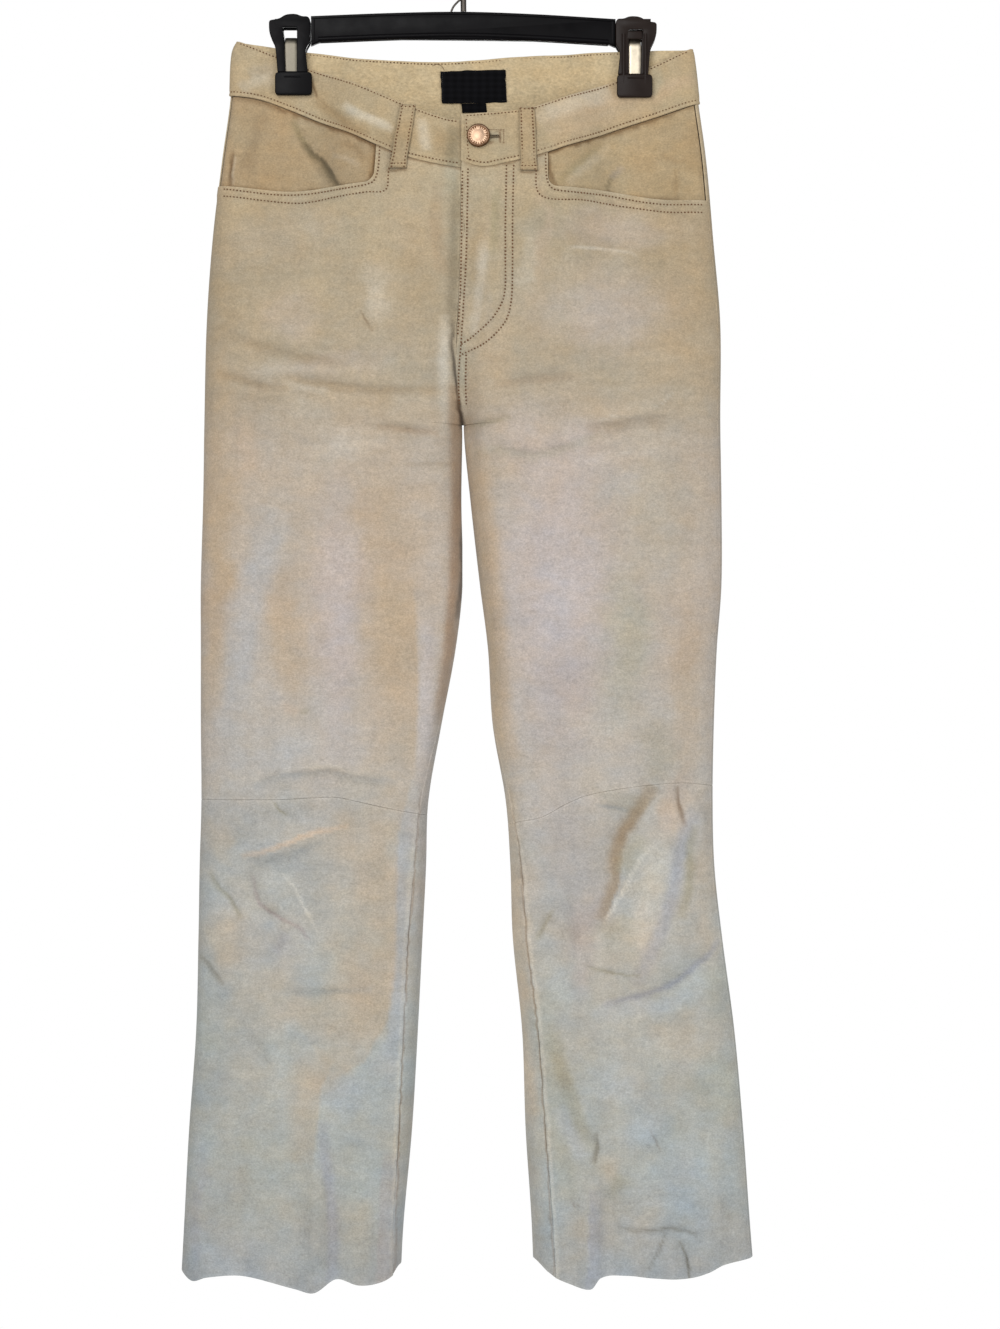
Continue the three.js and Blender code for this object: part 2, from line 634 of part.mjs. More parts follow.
// Shank button: a shallow dome with a raised rim, its shank through the keyhole. It
// sits square on the band, which leans a little there.
{
  const { radius, height, shank, clear } = BUTTON;
  const seat = onCloth(FRONT, BUTTON.x, BUTTON.z, bandFace + clear);
  const shankEnd = -(BAND.thickness + clear + SEAM_GAP / 2);
  const profile = [
    [0, shankEnd], [shank, shankEnd], [shank, 0], [radius - 1.2, 0], [radius, 0.9],
    [radius, height - 1.3], [radius - 0.7, height - 0.5], [radius - 1.8, height - 0.5],
    [radius - 2.6, height - 1.2], [radius * 0.45, height - 0.25], [0, height],
  ].map(([r, y]) => new THREE.Vector2(r, y));
  const lean = new THREE.Quaternion().setFromUnitVectors(new THREE.Vector3(0, 1, 0), seat.normal);
  const button = new THREE.LatheGeometry(profile, 18).applyQuaternion(lean);
  addPiece('button', closed(button.translate(...seat.point.toArray())), FINISH.copper);
}

// Hanger bar: a slightly arched moulding with rounded edges.
{
  const { half, top, endTop, bottom, endBottom, depth, bevel } = BAR;
  const outline = new THREE.Shape();
  outline.moveTo(-half + bevel, endBottom + bevel);
  outline.quadraticCurveTo(0, 2 * bottom - endBottom + bevel, half - bevel, endBottom + bevel);
  outline.lineTo(half - bevel, endTop - bevel);
  outline.quadraticCurveTo(0, 2 * top - endTop - bevel, -half + bevel, endTop - bevel);
  const bar = new THREE.ExtrudeGeometry(outline, {
    depth: depth - 2 * bevel, bevelThickness: bevel, bevelSize: bevel, bevelSegments: 2, curveSegments: 10,
  });
  addPiece('hanger_bar', closed(bar.translate(0, 0, bevel - depth / 2).rotateX(Math.PI / 2)),
    FINISH.plastic);
}

// A round rod along a path in the hanger's plane.
function rod(points, radius, sides, steps) {
  const path = new THREE.CatmullRomCurve3(points.map(([x, z]) => new THREE.Vector3(x, 0, z)));
  const section = new THREE.Shape().absarc(0, 0, radius, 0, 2 * Math.PI, false);
  return closed(new THREE.ExtrudeGeometry(section, {
    steps, extrudePath: path, curveSegments: sides, bevelEnabled: false,
  }));
}

// Hook wire: straight up out of the bar, out to one side and round over the rail.
{
  const radius = HOOK.innerRadius + HOOK.wire;
  const arc = [];
  for (let angle = -45; angle <= HOOK.end; angle += 24.5) {
    const turn = THREE.MathUtils.degToRad(angle);
    arc.push([radius * Math.cos(turn), -HOOK.innerRadius + radius * Math.sin(turn)]);
  }
  const stem = [[0.5, BAR.top + SEAM_GAP], [0.5, -62], [1.5, -52], [7, -42]];
  addPiece('hanger_hook', rod([...stem, ...arc], HOOK.wire, 5, 32), FINISH.hookWire);
  addPiece('hook_strand', rod([[-10, BAR.top + SEAM_GAP], [-8, -69.5], [-4.2, -65.2]], 0.9, 3, 5),
    FINISH.hookWire);
}

// Clips. Each has a front jaw whose head closes over the bar's end, a back jaw, and a
// bent steel strip that shows through the jaws' slots and presses them together.
function jawOutline() {
  const outline = new THREE.Shape();
  outline.moveTo(-12, -146);
  outline.quadraticCurveTo(-15, -146, -15, -143);
  outline.lineTo(-15, -130);
  outline.quadraticCurveTo(-14.6, -127, -11.8, -126.5);
  outline.lineTo(-13.5, -105);
  outline.quadraticCurveTo(-18.4, -100, -18.8, -93);
  outline.lineTo(-18.8, -84);
  outline.quadraticCurveTo(-18.6, -82, -15, -81.6);
  outline.quadraticCurveTo(-6, -77.5, 0, -77);
  outline.quadraticCurveTo(6, -77.2, 10, -79);
  outline.lineTo(15.6, -80.5);
  outline.lineTo(15.6, -101);
  outline.quadraticCurveTo(12.2, -104, 12.2, -107);
  outline.lineTo(13.6, -126.5);
  outline.quadraticCurveTo(16.4, -127.5, 16.4, -130);
  outline.lineTo(16.4, -143);
  outline.quadraticCurveTo(16.4, -146, 13.4, -146);
  const slot = new THREE.Path();
  slot.moveTo(-6.8, -88);
  slot.lineTo(-5.6, -126);
  slot.lineTo(5.6, -126);
  slot.lineTo(5.6, -88);
  outline.holes.push(slot);
  return outline;
}

function makeClip(side, name) {
  const place = (geometry) => {
    // A mirrored clip has its faces turned back to point out.
    const solid = closed(geometry.rotateX(Math.PI / 2));
    if (side > 0) {
      solid.scale(-1, 1, 1);
      solid.setIndex(Array.from(solid.index.array).reverse());
    }
    solid.translate(side * CLIP.x, 0, 0);
    solid.computeVertexNormals();
    return solid;
  };
  const { inner, thickness, bevel } = JAW;
  const plate = (outline, from, depth) => new THREE.ExtrudeGeometry(outline, {
    depth: depth - 2 * bevel, bevelThickness: bevel, bevelSize: bevel, bevelOffset: -bevel,
    bevelSegments: 1, curveSegments: 3,
  }).translate(0, 0, from + bevel);
  addPiece(`clip_${name}_front_jaw`, place(plate(jawOutline(), inner, thickness)), FINISH.plastic);
  addPiece(`clip_${name}_back_jaw`, place(plate(jawOutline(), -inner - thickness, thickness)),
    FINISH.plastic);

  // The head's core sits between the jaws, above the slots, and takes the bar's end.
  const core = new THREE.Shape();
  core.moveTo(-14, -86.5);
  core.lineTo(15.2, -86.5);
  core.lineTo(15.2, -81.5);
  core.lineTo(-14, -82.5);
  addPiece(`clip_${name}_core`, place(plate(core, -inner + SEAM_GAP, 2 * (inner - SEAM_GAP))),
    FINISH.plastic);

  // The spring strip: up through one slot, over and down through the other.
  const bend = new THREE.Shape();
  const outerHalf = SPRING.reach;
  const innerHalf = SPRING.reach - SPRING.thickness;
  const bendZ = SPRING.top - outerHalf;
  bend.moveTo(outerHalf, SPRING.bottom);
  bend.lineTo(outerHalf, bendZ);
  bend.absarc(0, bendZ, outerHalf, 0, Math.PI, false);
  bend.lineTo(-outerHalf, SPRING.bottom);
  bend.lineTo(-innerHalf, SPRING.bottom);
  bend.lineTo(-innerHalf, bendZ);
  bend.absarc(0, bendZ, innerHalf, Math.PI, 0, true);
  bend.lineTo(innerHalf, SPRING.bottom);
  const spring = new THREE.ExtrudeGeometry(bend, {
    depth: SPRING.width, bevelEnabled: false, curveSegments: 8,
  });
  spring.rotateX(Math.PI / 2).rotateZ(Math.PI / 2);
  spring.translate(side * CLIP.x - SPRING.width / 2, 0, 0);
  addPiece(`clip_${name}_spring`, closed(spring), FINISH.steel);
}

makeClip(-1, 'right');
makeClip(1, 'left');

export default pants;
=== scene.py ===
import itertools
import math

import bmesh
import bpy
import numpy as np
from mathutils import Matrix, Vector
from mathutils.bvhtree import BVHTree


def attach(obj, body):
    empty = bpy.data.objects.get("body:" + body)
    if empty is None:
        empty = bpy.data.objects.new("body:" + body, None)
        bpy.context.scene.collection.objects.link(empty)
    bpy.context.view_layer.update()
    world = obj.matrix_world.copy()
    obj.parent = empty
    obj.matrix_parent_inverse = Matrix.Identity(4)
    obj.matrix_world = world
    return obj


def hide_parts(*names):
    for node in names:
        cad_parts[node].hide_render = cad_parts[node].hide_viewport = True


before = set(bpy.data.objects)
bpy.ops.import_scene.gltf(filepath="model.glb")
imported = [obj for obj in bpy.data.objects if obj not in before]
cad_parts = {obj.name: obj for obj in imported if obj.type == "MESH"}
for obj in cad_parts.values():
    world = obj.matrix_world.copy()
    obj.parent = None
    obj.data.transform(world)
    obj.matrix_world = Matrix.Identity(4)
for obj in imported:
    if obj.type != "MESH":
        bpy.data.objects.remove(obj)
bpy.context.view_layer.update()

# ---- Camera --------------------------------------------------------------------------
# Level and square to the front of the pants, with a short telephoto's calm perspective.
# Lengths in this file are millimetres, turned to metres where a mesh or light is made.
MM = 0.001
EYE = {"x": 31.5, "z": -628.6, "distance": 3200, "half_height": 564.8}

camera = bpy.data.objects.new("camera", bpy.data.cameras.new("camera"))
camera.data.lens = camera.data.sensor_width / 2 * EYE["distance"] / EYE["half_height"]
camera.location = (EYE["x"] * MM, -EYE["distance"] * MM, EYE["z"] * MM)
camera.rotation_euler = (math.radians(90), 0, 0)
bpy.context.scene.collection.objects.link(camera)
bpy.context.scene.camera = camera

# ---- Thigh fronts --------------------------------------------------------------------
# Two panels of suede 1.4 mm thick, joined down the middle where the left one laps over
# the right as the fly. Each is cut away at its upper outer corner for the pocket, and
# hangs from the waistband as flat as the clips let it.
SUEDE = 1.4
CROTCH = -425  # height of the crotch, below the hook like every z here
RIGHT, LEFT = -1, 1  # the wearer's sides, which are also the signs of x
FRONT, BACK = -1, 1  # also the signs of y


def table(columns, rows):
    """Names the columns of a short table, with its rows in order of the first column."""
    return dict(zip(columns.split(), np.array(sorted(rows), float).T))


def read(rows, column, at):
    """Reads a column smoothly at places along the table's first column."""
    keys, values = next(iter(rows.values())), rows[column]
    slope = np.gradient(values, keys)
    slope[1:-1] = (values[2:] - values[:-2]) / (keys[2:] - keys[:-2])
    i = np.clip(np.searchsorted(keys, at) - 1, 0, len(keys) - 2)
    span = keys[i + 1] - keys[i]
    t = np.clip((at - keys[i]) / span, 0, 1)
    blend = t * t * (3 - 2 * t)
    straight = values[i] * (1 - blend) + values[i + 1] * blend
    return straight + span * t * (1 - t) * (slope[i] * (1 - t) - slope[i + 1] * t)


# Side and inseam edges of both legs, with how far in from its leg's inner edge each
# inseam runs on the front, and how far front and back stand off the middle plane.
OUTLINE = table("z right_outer right_inner left_inner left_outer right_inset left_inset", [
    (-99, -190.5, 0, 0, 192.5, 0, 0), (-110, -194.5, 0, 0, 194.5, 0, 0),
    (-149, -197, 0, 0, 199, 0, 0), (-200, -204, 0, 0, 206, 0, 0),
    (-268, -212, 0, 0, 212, 0, 0), (-340, -217, 0, 0, 218, 0, 0),
    (-425, -219, -1, 1, 218, 0, 0), (-489, -220, -2, 7, 219, 0, 0),
    (-560, -222, -1, 15, 219, 0, 0), (-616, -222, -7, 22, 215, 0, 0),
    (-680, -222, -19, 26, 212.5, 2, 1), (-744, -221.5, -30, 37, 211.5, 6, 4),
    (-800, -223, -32, 41, 213, 9, 9), (-860, -224, -35, 43, 219.5, 11, 11),
    (-940, -226, -39, 51, 230, 11, 13), (-1024, -232, -44, 54, 237.5, 10, 16),
    (-1101, -236, -51, 59, 243, 8, 17), (-1157, -239, -54, 61, 247.5, 5, 18),
])
DEPTH = table("z front back", [
    (-99, 15, 14), (-165, 21, 19), (-205, 25, 25), (-275, 31, 33), (-361, 36, 39),
    (-425, 36, 38), (-500, 34, 36), (-585, 32, 33), (-670, 29, 30), (-744, 28, 28),
    (-900, 28, 26), (-1010, 29, 27), (-1100, 31, 30), (-1157, 34, 32),
])
CROTCH_BEND = 14.4
LEG_GAP = 2.2
INSEAM = {"slope": 2, "rounding": 9, "starts_over": 60}
SIDE_FULLNESS = 2.4
CLIP = {"x": 145.5, "flat": 18, "fade": 45, "spread": 30, "half_gap": 2.4, "full": -165, "gone": -345}


def smoothstep(value, low, high):
    t = np.clip((value - low) / (high - low), 0, 1)
    return t * t * (3 - 2 * t)


def inner_edge(leg, z):
    """The centre line above the crotch, and the leg's inseam side below it."""
    inner = np.where(leg < 0, -read(OUTLINE, "right_inner", z), read(OUTLINE, "left_inner", z))
    return np.where(z > CROTCH, 0, leg * np.maximum(inner, LEG_GAP / 2))


def outer_edge(leg, z):
    return np.where(leg < 0, read(OUTLINE, "right_outer", z), read(OUTLINE, "left_outer", z))


def squeeze(x, z):
    """How much of the clips' squeeze is felt at a place, from 0 to 1."""
    away = np.abs(np.abs(x) - CLIP["x"])
    down = smoothstep(CLIP["full"] - z, 0, CLIP["full"] - CLIP["gone"])
    flat = CLIP["flat"] * (1 - down)
    return (1 - smoothstep((away - flat) / (CLIP["fade"] + CLIP["spread"] * down), 0, 1)) * (1 - down)


# Folds that reach through all layers. A row of points is a ridge, or a trough where the
# height is negative.
FOLDS = {FRONT: [
    # height, left and right half widths as one walks along the points (x, z)
    (-4.0, 9, 10, [(-147, -160), (-133, -184), (-121, -204), (-104, -230)]),
    (-3.0, 10, 10, [(-172, -158), (-180, -187), (-190, -215)]),
    (-2.4, 6, 8, [(-126, -146), (-112, -159), (-94, -172)]),
    (2.0, 6, 8, [(-100, -153), (-82, -167), (-58, -178)]),
    (1.8, 8, 8, [(68, -172), (98, -156), (128, -144)]), (3.0, 26, 26, [(-120, -215), (-60, -330)]),
    (3.0, 26, 26, [(125, -190), (60, -330)]), (4.0, 14, 10, [(-14, -300), (-11, -400)]),
    (3.0, 10, 10, [(-172, -724), (-137, -718), (-113, -717), (-78, -726)]),
    (5.0, 11, 15, [(-184, -791), (-137, -776), (-104, -767)]),
    (-4.0, 9, 9, [(-176, -806), (-173, -833), (-160, -848)]),
    (-3.5, 9, 9, [(-150, -812), (-137, -831), (-124, -850)]),
    (-3.5, 9, 9, [(-210, -810), (-200, -825), (-188, -842)]),
    (-3.0, 10, 10, [(-221, -874), (-211, -887), (-200, -900)]),
    (6.0, 12, 8, [(-124, -1000), (-123, -1080), (-124, -1175)]),
    (-5.0, 8, 8, [(-107, -1030), (-112, -1080), (-109, -1175)]),
    (-5.0, 9, 9, [(-76, -1060), (-72, -1110), (-68, -1175)]),
    (-5.0, 14, 12, [(166, -725), (135, -776), (118, -845)]),
    (5.0, 9, 14, [(160, -780), (146, -805), (120, -850)]),
    (-5.0, 14, 12, [(197, -748), (183, -797), (168, -850), (148, -905)]),
    (-5.0, 10, 12, [(216, -864), (200, -882), (177, -901), (118, -921)]),
    (4.0, 14, 14, [(205, -900), (170, -922), (130, -945)]),
    (5.0, 12, 14, [(70, -935), (92, -985), (112, -1040)]),
    (6.0, 11, 12, [(112, -1020), (106, -1094), (110, -1175)]), (-4.0, 9, 9, [(126, -1070), (121, -1175)]),
    (-4.0, 10, 10, [(176, -1085), (188, -1130), (195, -1175)]),
], BACK: [
    (4.0, 18, 18, [(-150, -560), (-120, -705)]), (4.0, 18, 18, [(140, -570), (120, -700)]),
    (4.0, 13, 13, [(-190, -770), (-90, -800)]), (-4.0, 11, 11, [(-200, -840), (-150, -870)]),
    (4.0, 13, 13, [(100, -790), (190, -765)]), (-4.0, 12, 12, [(120, -850), (200, -880)]),
    (5.0, 13, 13, [(-170, -1000), (-178, -1175)]), (-5.0, 12, 12, [(-105, -1030), (-98, -1175)]),
    (-5.0, 12, 12, [(110, -1030), (100, -1175)]), (5.0, 13, 13, [(180, -1000), (192, -1175)]),
]}

# Smaller creases, a few millimetres wide and up to about two high.
CREASES = {FRONT: [
    # height, left and right half widths, points (x, z), as above
    (-1.6, 3, 5, [(-139, -176), (-131, -188), (-121, -205), (-108, -226)]),
    (1.5, 7, 3, [(-146, -180), (-136, -196), (-124, -214)]), (-1.6, 3, 4, [(-195, -190), (-198, -222)]),
    (-1.4, 4, 6, [(119, -232), (126, -216), (135, -206)]),
    (-1.0, 5, 5, [(143, -196), (158, -202), (170, -199)]), (1.3, 3, 6, [(27, -222), (25, -250), (23, -282)]),
    (-0.9, 5, 3, [(21, -225), (20, -275)]), (-1.7, 5, 7, [(-6, -205), (-7, -250), (-8, -300), (-10, -345)]),
    (1.8, 6, 5, [(-17, -330), (-13, -372), (-11, -412)]),
    (-1.2, 4, 6, [(-212, -330), (-188, -338), (-150, -345)]),
    (-1.7, 4, 5, [(-208, -341), (-188, -353), (-168, -361), (-135, -370), (-95, -375)]),
    (-1.2, 3, 4, [(-207, -361), (-196, -367), (-182, -373)]),
    (1.3, 4, 5, [(-200, -366), (-160, -380), (-120, -381), (-60, -380)]),
    (-2.0, 3, 4, [(-209, -381), (-188, -387), (-170, -393), (-146, -396)]),
    (-2.0, 3, 5, [(-150, -384), (-133, -389), (-106, -393), (-70, -397), (-20, -396)]),
    (-1.5, 2, 3, [(-147, -396), (-135, -400), (-124, -405)]),
    (-1.2, 4, 5, [(-206, -400), (-172, -407), (-140, -405)]),
    (-1.8, 3, 3, [(-72, -427), (-44, -431), (-20, -433)]),
    (1.0, 4, 4, [(-112, -438), (-92, -447), (-76, -453)]),
    (-1.5, 2, 4, [(-48, -460), (-28, -458), (-4, -458)]),
    (-1.0, 4, 5, [(-66, -477), (-32, -481), (-4, -480)]),
    (-1.4, 3, 4, [(26, -393), (60, -388), (100, -385)]), (-1.8, 2, 4, [(6, -425), (24, -423), (42, -419)]),
    (-1.6, 4, 7, [(104, -427), (126, -428), (142, -424), (172, -421)]),
    (1.2, 3, 4, [(100, -418), (124, -416), (150, -413), (176, -400)]),
    (-1.5, 3, 5, [(6, -448), (30, -446), (60, -452), (82, -446), (120, -433)]),
    (1.0, 4, 6, [(60, -462), (110, -458), (160, -446), (196, -449)]),
    (-1.0, 4, 5, [(80, -366), (130, -368), (190, -356)]),
    (-0.9, 4, 5, [(104, -345), (150, -339), (200, -344)]),
    (0.9, 2, 3, [(84, -278), (112, -278), (132, -280), (147, -283)]),
    (-0.9, 3, 4, [(104, -271), (118, -271), (130, -273)]),
    (-0.9, 4, 4, [(-200, -290), (-150, -299), (-100, -296)]),
    (-1.3, 3, 4, [(-86, -331), (-80, -341), (-75, -350)]),
    (-2.0, 1.5, 6, [(-177, -729), (-165, -723), (-148, -720), (-112, -717), (-90, -723), (-54, -726)]),
    (-1.4, 2, 2, [(-159, -743), (-154, -752), (-140, -758)]),
    (1.6, 3, 3, [(-186, -789), (-170, -787), (-150, -780), (-130, -772), (-98, -765)]),
    (-1.4, 3, 4, [(-182, -797), (-150, -790), (-118, -778)]),
    (-1.5, 2, 3, [(-176, -806), (-175, -820), (-171, -831), (-160, -838), (-136, -851), (-129, -861)]),
    (1.4, 2, 3, [(-152, -803), (-142, -816), (-134, -831), (-122, -853)]),
    (-1.5, 2, 3, [(-213, -804), (-206, -817), (-196, -826), (-186, -843)]),
    (-1.4, 2, 4, [(-221, -873), (-212, -886), (-201, -899)]),
    (-1.2, 5, 5, [(-148, -853), (-158, -872), (-170, -884)]),
    (-1.5, 2, 4, [(-152, -903), (-128, -904), (-100, -903), (-76, -902)]),
    (-1.0, 4, 4, [(-190, -930), (-170, -950), (-158, -980)]),
    (1.0, 5, 5, [(-218, -960), (-190, -975), (-150, -976)]),
    (-1.2, 3, 3, [(-140, -943), (-124, -948), (-104, -946)]),
    (-1.8, 2, 3, [(112, -747), (126, -749), (141, -751)]),
    (-1.8, 1.5, 3, [(181, -730), (183, -745), (188, -765)]),
    (1.4, 3, 4, [(190, -732), (196, -748), (199, -756)]),
    (-1.6, 4, 3, [(204, -742), (204, -752), (208, -768)]),
    (2.0, 2, 2, [(159, -781), (150, -793), (143, -803), (137, -816), (125, -836), (118, -849)]),
    (-1.8, 3, 2, [(155, -786), (146, -800), (133, -820), (122, -838)]),
    (-1.4, 1.5, 3, [(104, -883), (122, -887), (136, -890), (152, -891)]),
    (-1.5, 3, 3, [(77, -836), (68, -850), (62, -862)]), (-1.2, 2, 3, [(75, -861), (68, -870), (66, -880)]),
    (-2.0, 3, 3, [(214, -866), (206, -876), (194, -886), (178, -898), (156, -907), (118, -916)]),
    (-1.2, 3, 4, [(88, -800), (92, -850), (106, -884), (110, -910)]),
    (-1.8, 2, 4, [(113, -1022), (115, -1036), (110, -1050)]),
    (-1.2, 1.5, 1.5, [(157, -1020), (163, -1030), (167, -1039)]),
    (-1.2, 1.5, 1.5, [(91, -1078), (94, -1084), (99, -1084)]),
    (-2.0, 2, 3, [(130, -1102), (146, -1105), (158, -1105), (176, -1103), (195, -1107), (197, -1113)]),
    (-1.6, 2, 2, [(171, -1106), (166, -1120), (157, -1138)]),
    (-2.2, 1.5, 2, [(182, -1114), (189, -1128), (192, -1148)]),
    (1.4, 4, 4, [(176, -1110), (176, -1125), (177, -1144)]),
    (-1.2, 4, 4, [(212, -1060), (222, -1090), (226, -1130)]),
], BACK: [
    (-0.9, 5, 5, [(-190, -420), (-110, -432), (-30, -420)]),
    (0.9, 5, 6, [(-180, -450), (-100, -462), (-20, -452)]),
    (-0.9, 5, 5, [(30, -425), (110, -436), (190, -420)]),
    (0.9, 5, 6, [(20, -452), (100, -464), (180, -452)]),
    (-1.2, 4, 5, [(-170, -735), (-120, -748), (-70, -742)]),
    (-1.2, 4, 5, [(80, -738), (130, -746), (180, -735)]),
]}


def reach(x, z, points):
    """Signed distance across a row of points, and how far along it, from 0 to 1."""
    points = np.array(points, float)
    runs = np.diff(points, axis=0)
    lengths = np.hypot(*runs.T)
    starts = np.concatenate([[0], np.cumsum(lengths)])
    nearest = np.full(np.shape(x), 1e9)
    signed, along = np.zeros_like(nearest), np.zeros_like(nearest)
    for (ax, az), (dx, dz), length, start in zip(points, runs, lengths, starts):
        t = ((x - ax) * dx + (z - az) * dz) / length**2
        held = np.clip(t, 0, 1)
        away = np.hypot(x - ax - held * dx, z - az - held * dz)
        closer = away < nearest
        nearest = np.where(closer, away, nearest)
        side = np.sign((x - ax) * dz - (z - az) * dx)
        signed = np.where(closer, away * side, signed)
        along = np.where(closer, (start + held * length) / starts[-1], along)
    return signed, along


def felt(x, z, left, right, points, power, taper):
    """How strongly a line of these half widths is felt at places, from 0 to 1."""
    share = np.zeros(np.shape(x))
    xs, zs = np.array(points, float).T
    margin = 3 * max(left, right)
    near = (x > xs.min() - margin) & (x < xs.max() + margin)
    near &= (z > zs.min() - margin) & (z < zs.max() + margin)
    across, along = reach(x[near], z[near], points)
    width = np.where(across < 0, left, right)
    share[near] = np.exp(-(np.abs(across / width) ** power)) * np.sin(np.pi * along) ** taper
    return share


def mottle(x, z, across, down, seed):
    """Soft random swells with a period of about across by down, from -1 to 1."""
    cells = 61
    lattice = np.random.default_rng(seed).uniform(-1, 1, (cells, cells))
    u, v = x / across + 500.5, z / down + 500.5
    i, j = np.floor(u).astype(int), np.floor(v).astype(int)
    s, t = smoothstep(u - i, 0, 1), smoothstep(v - j, 0, 1)
    rows = [lattice[i % cells, (j + k) % cells] * (1 - s) + lattice[(i + 1) % cells, (j + k) % cells] * s
            for k in (0, 1)]
    return rows[0] * (1 - t) + rows[1] * t


def creased(face, x, z, *tables):
    """Summed height of those folds or creases that pass a place."""
    height = np.zeros(np.shape(x))
    for side in (FRONT, BACK):
        here = face == side
        if here.any():
            for tall, left, right, points in itertools.chain(*(rows[side] for rows in tables)):
                height[here] += tall * felt(x[here], z[here], left, right, points, 2, 0.8)
    return height


def fold_height(face, x, z):
    """Sum of the folds, creases and small swells that pass a place."""
    height = 0.55 * mottle(x, z, 47, 36, 3 + face) + 0.4 * mottle(x, z, 19, 14, 7 + face)
    height += 0.2 * mottle(x, z, 8, 6, 12 + face)
    thigh = smoothstep(z, -520, -440) * (1 - smoothstep(z, -330, -270))
    height += 0.7 * thigh * mottle(x, z + 0.05 * np.abs(x), 85, 9, 21 + face)
    height += 0.8 * thigh * mottle(x, z - 0.03 * np.abs(x), 48, 5, 22 + face)
    shin = 1 - smoothstep(z, -820, -700)
    height += 0.8 * shin * mottle(x + 0.3 * z, z, 30, 52, 31 + face)
    return height + creased(face, x, z, FOLDS, CREASES)


def whereabouts(leg, face, across, z):
    """Which side, face and x a place has. across runs from the side seam (0) to the
    centre or inseam (1), and past either it goes on round the leg or over the centre."""
    turned = np.where(across < 0, -face, face)
    u = np.abs(across)
    over = u > 1
    u = np.where(over, 2 - u, u)
    crossed = over & (z > CROTCH)
    turned = np.where(over & ~crossed, -turned, turned)
    side = np.where(crossed, -leg, leg)
    s = (1 - np.cos(np.pi * u)) / 2
    outer, inner = outer_edge(side, z), inner_edge(side, z)
    return side, turned, s, outer + (inner - outer) * s, inner


def skin(leg, face, across, z):
    """Middle of the outer layer of suede, as points (x, y, z)."""
    side, turned, s, x, inner = whereabouts(leg, face, across, z)
    full = np.where(turned == FRONT, read(DEPTH, "front", z), read(DEPTH, "back", z))
    near = np.clip(1 - 2 * s, 0, 1)
    edge = (1 - near**SIDE_FULLNESS) ** (1 / SIDE_FULLNESS)
    inward = np.abs(x - inner)
    rounding = INSEAM["rounding"] * smoothstep(CROTCH - z, 0, INSEAM["starts_over"])
    over_crotch = np.hypot(np.sqrt(CROTCH_BEND * np.maximum(z - CROTCH, 0)), INSEAM["slope"] * x)
    rise = np.where(z > CROTCH, over_crotch, INSEAM["slope"] * np.sqrt(inward**2 + 2 * rounding * inward))
    rise = rise / full
    standing = edge * rise / np.cbrt(1 + rise**3)
    away = standing * (full + fold_height(turned, x, z))
    pinch = squeeze(x, z)
    return np.stack([x, turned * (away * (1 - pinch) + CLIP["half_gap"] * edge * pinch), z], -1)


def lifted(leg, face, across, z, lift):
    """Points of the cloth moved out along its normal, with the normals."""
    x = whereabouts(leg, face, across, z)[3]
    sideways = skin(leg, face, across + 0.012, z) - skin(leg, face, across - 0.012, z)
    upward = skin(leg, face, across, z + 1.5) - skin(leg, face, across, z - 1.5)
    normal = np.cross(sideways, upward) * np.asarray(leg * face)[..., None]
    normal /= np.linalg.norm(normal, axis=-1, keepdims=True)
    point = skin(leg, face, across, z) + normal * np.broadcast_to(lift, x.shape)[..., None]
    return point, normal


# The middle seam of the fronts, x at z: it leans to the right below the fly.
MIDDLE = table("z x", [
    (-200, -1.2), (-285, -2.2), (-316, -3), (-350, -5), (-389, -6), (-409, -4.5), (-425, 0),
])


def seam_across(leg, face, z):
    """Where along a panel's width its centre or inseam edge falls."""
    outer, inner = outer_edge(leg, z), inner_edge(leg, z)
    inset = read(OUTLINE, "right_inset" if leg == RIGHT else "left_inset", z)
    below = np.arccos(2 * np.clip(inset / np.abs(outer - inner), 0, 1) - 1) / np.pi
    below = below if face == FRONT else 2 - below
    if face == BACK:
        return np.where(z > CROTCH, 1, below)
    middle = read(MIDDLE, "x", z)
    from_right = np.arccos(1 - 2 * (1 - middle / read(OUTLINE, "right_outer", z))) / np.pi
    return np.where(z > CROTCH, from_right if leg == RIGHT else 2 - from_right, below)


FINE = (0, 0.25, 0.6, 1.1, 1.9, 3.0)  # rows close to a seam or an edge, so that it can round over


def stops(length, step):
    """Places along a stretch, each as millimetres plus a share of the length: close
    together at both ends and a step apart between them."""
    last = FINE[-1]
    count = max(2, round((length - 2 * last) / step))
    middle = [(last * (1 - 2 * k / count), k / count) for k in range(1, count)]
    return [(d, 0) for d in FINE] + middle + [(-d, 1) for d in reversed(FINE)]


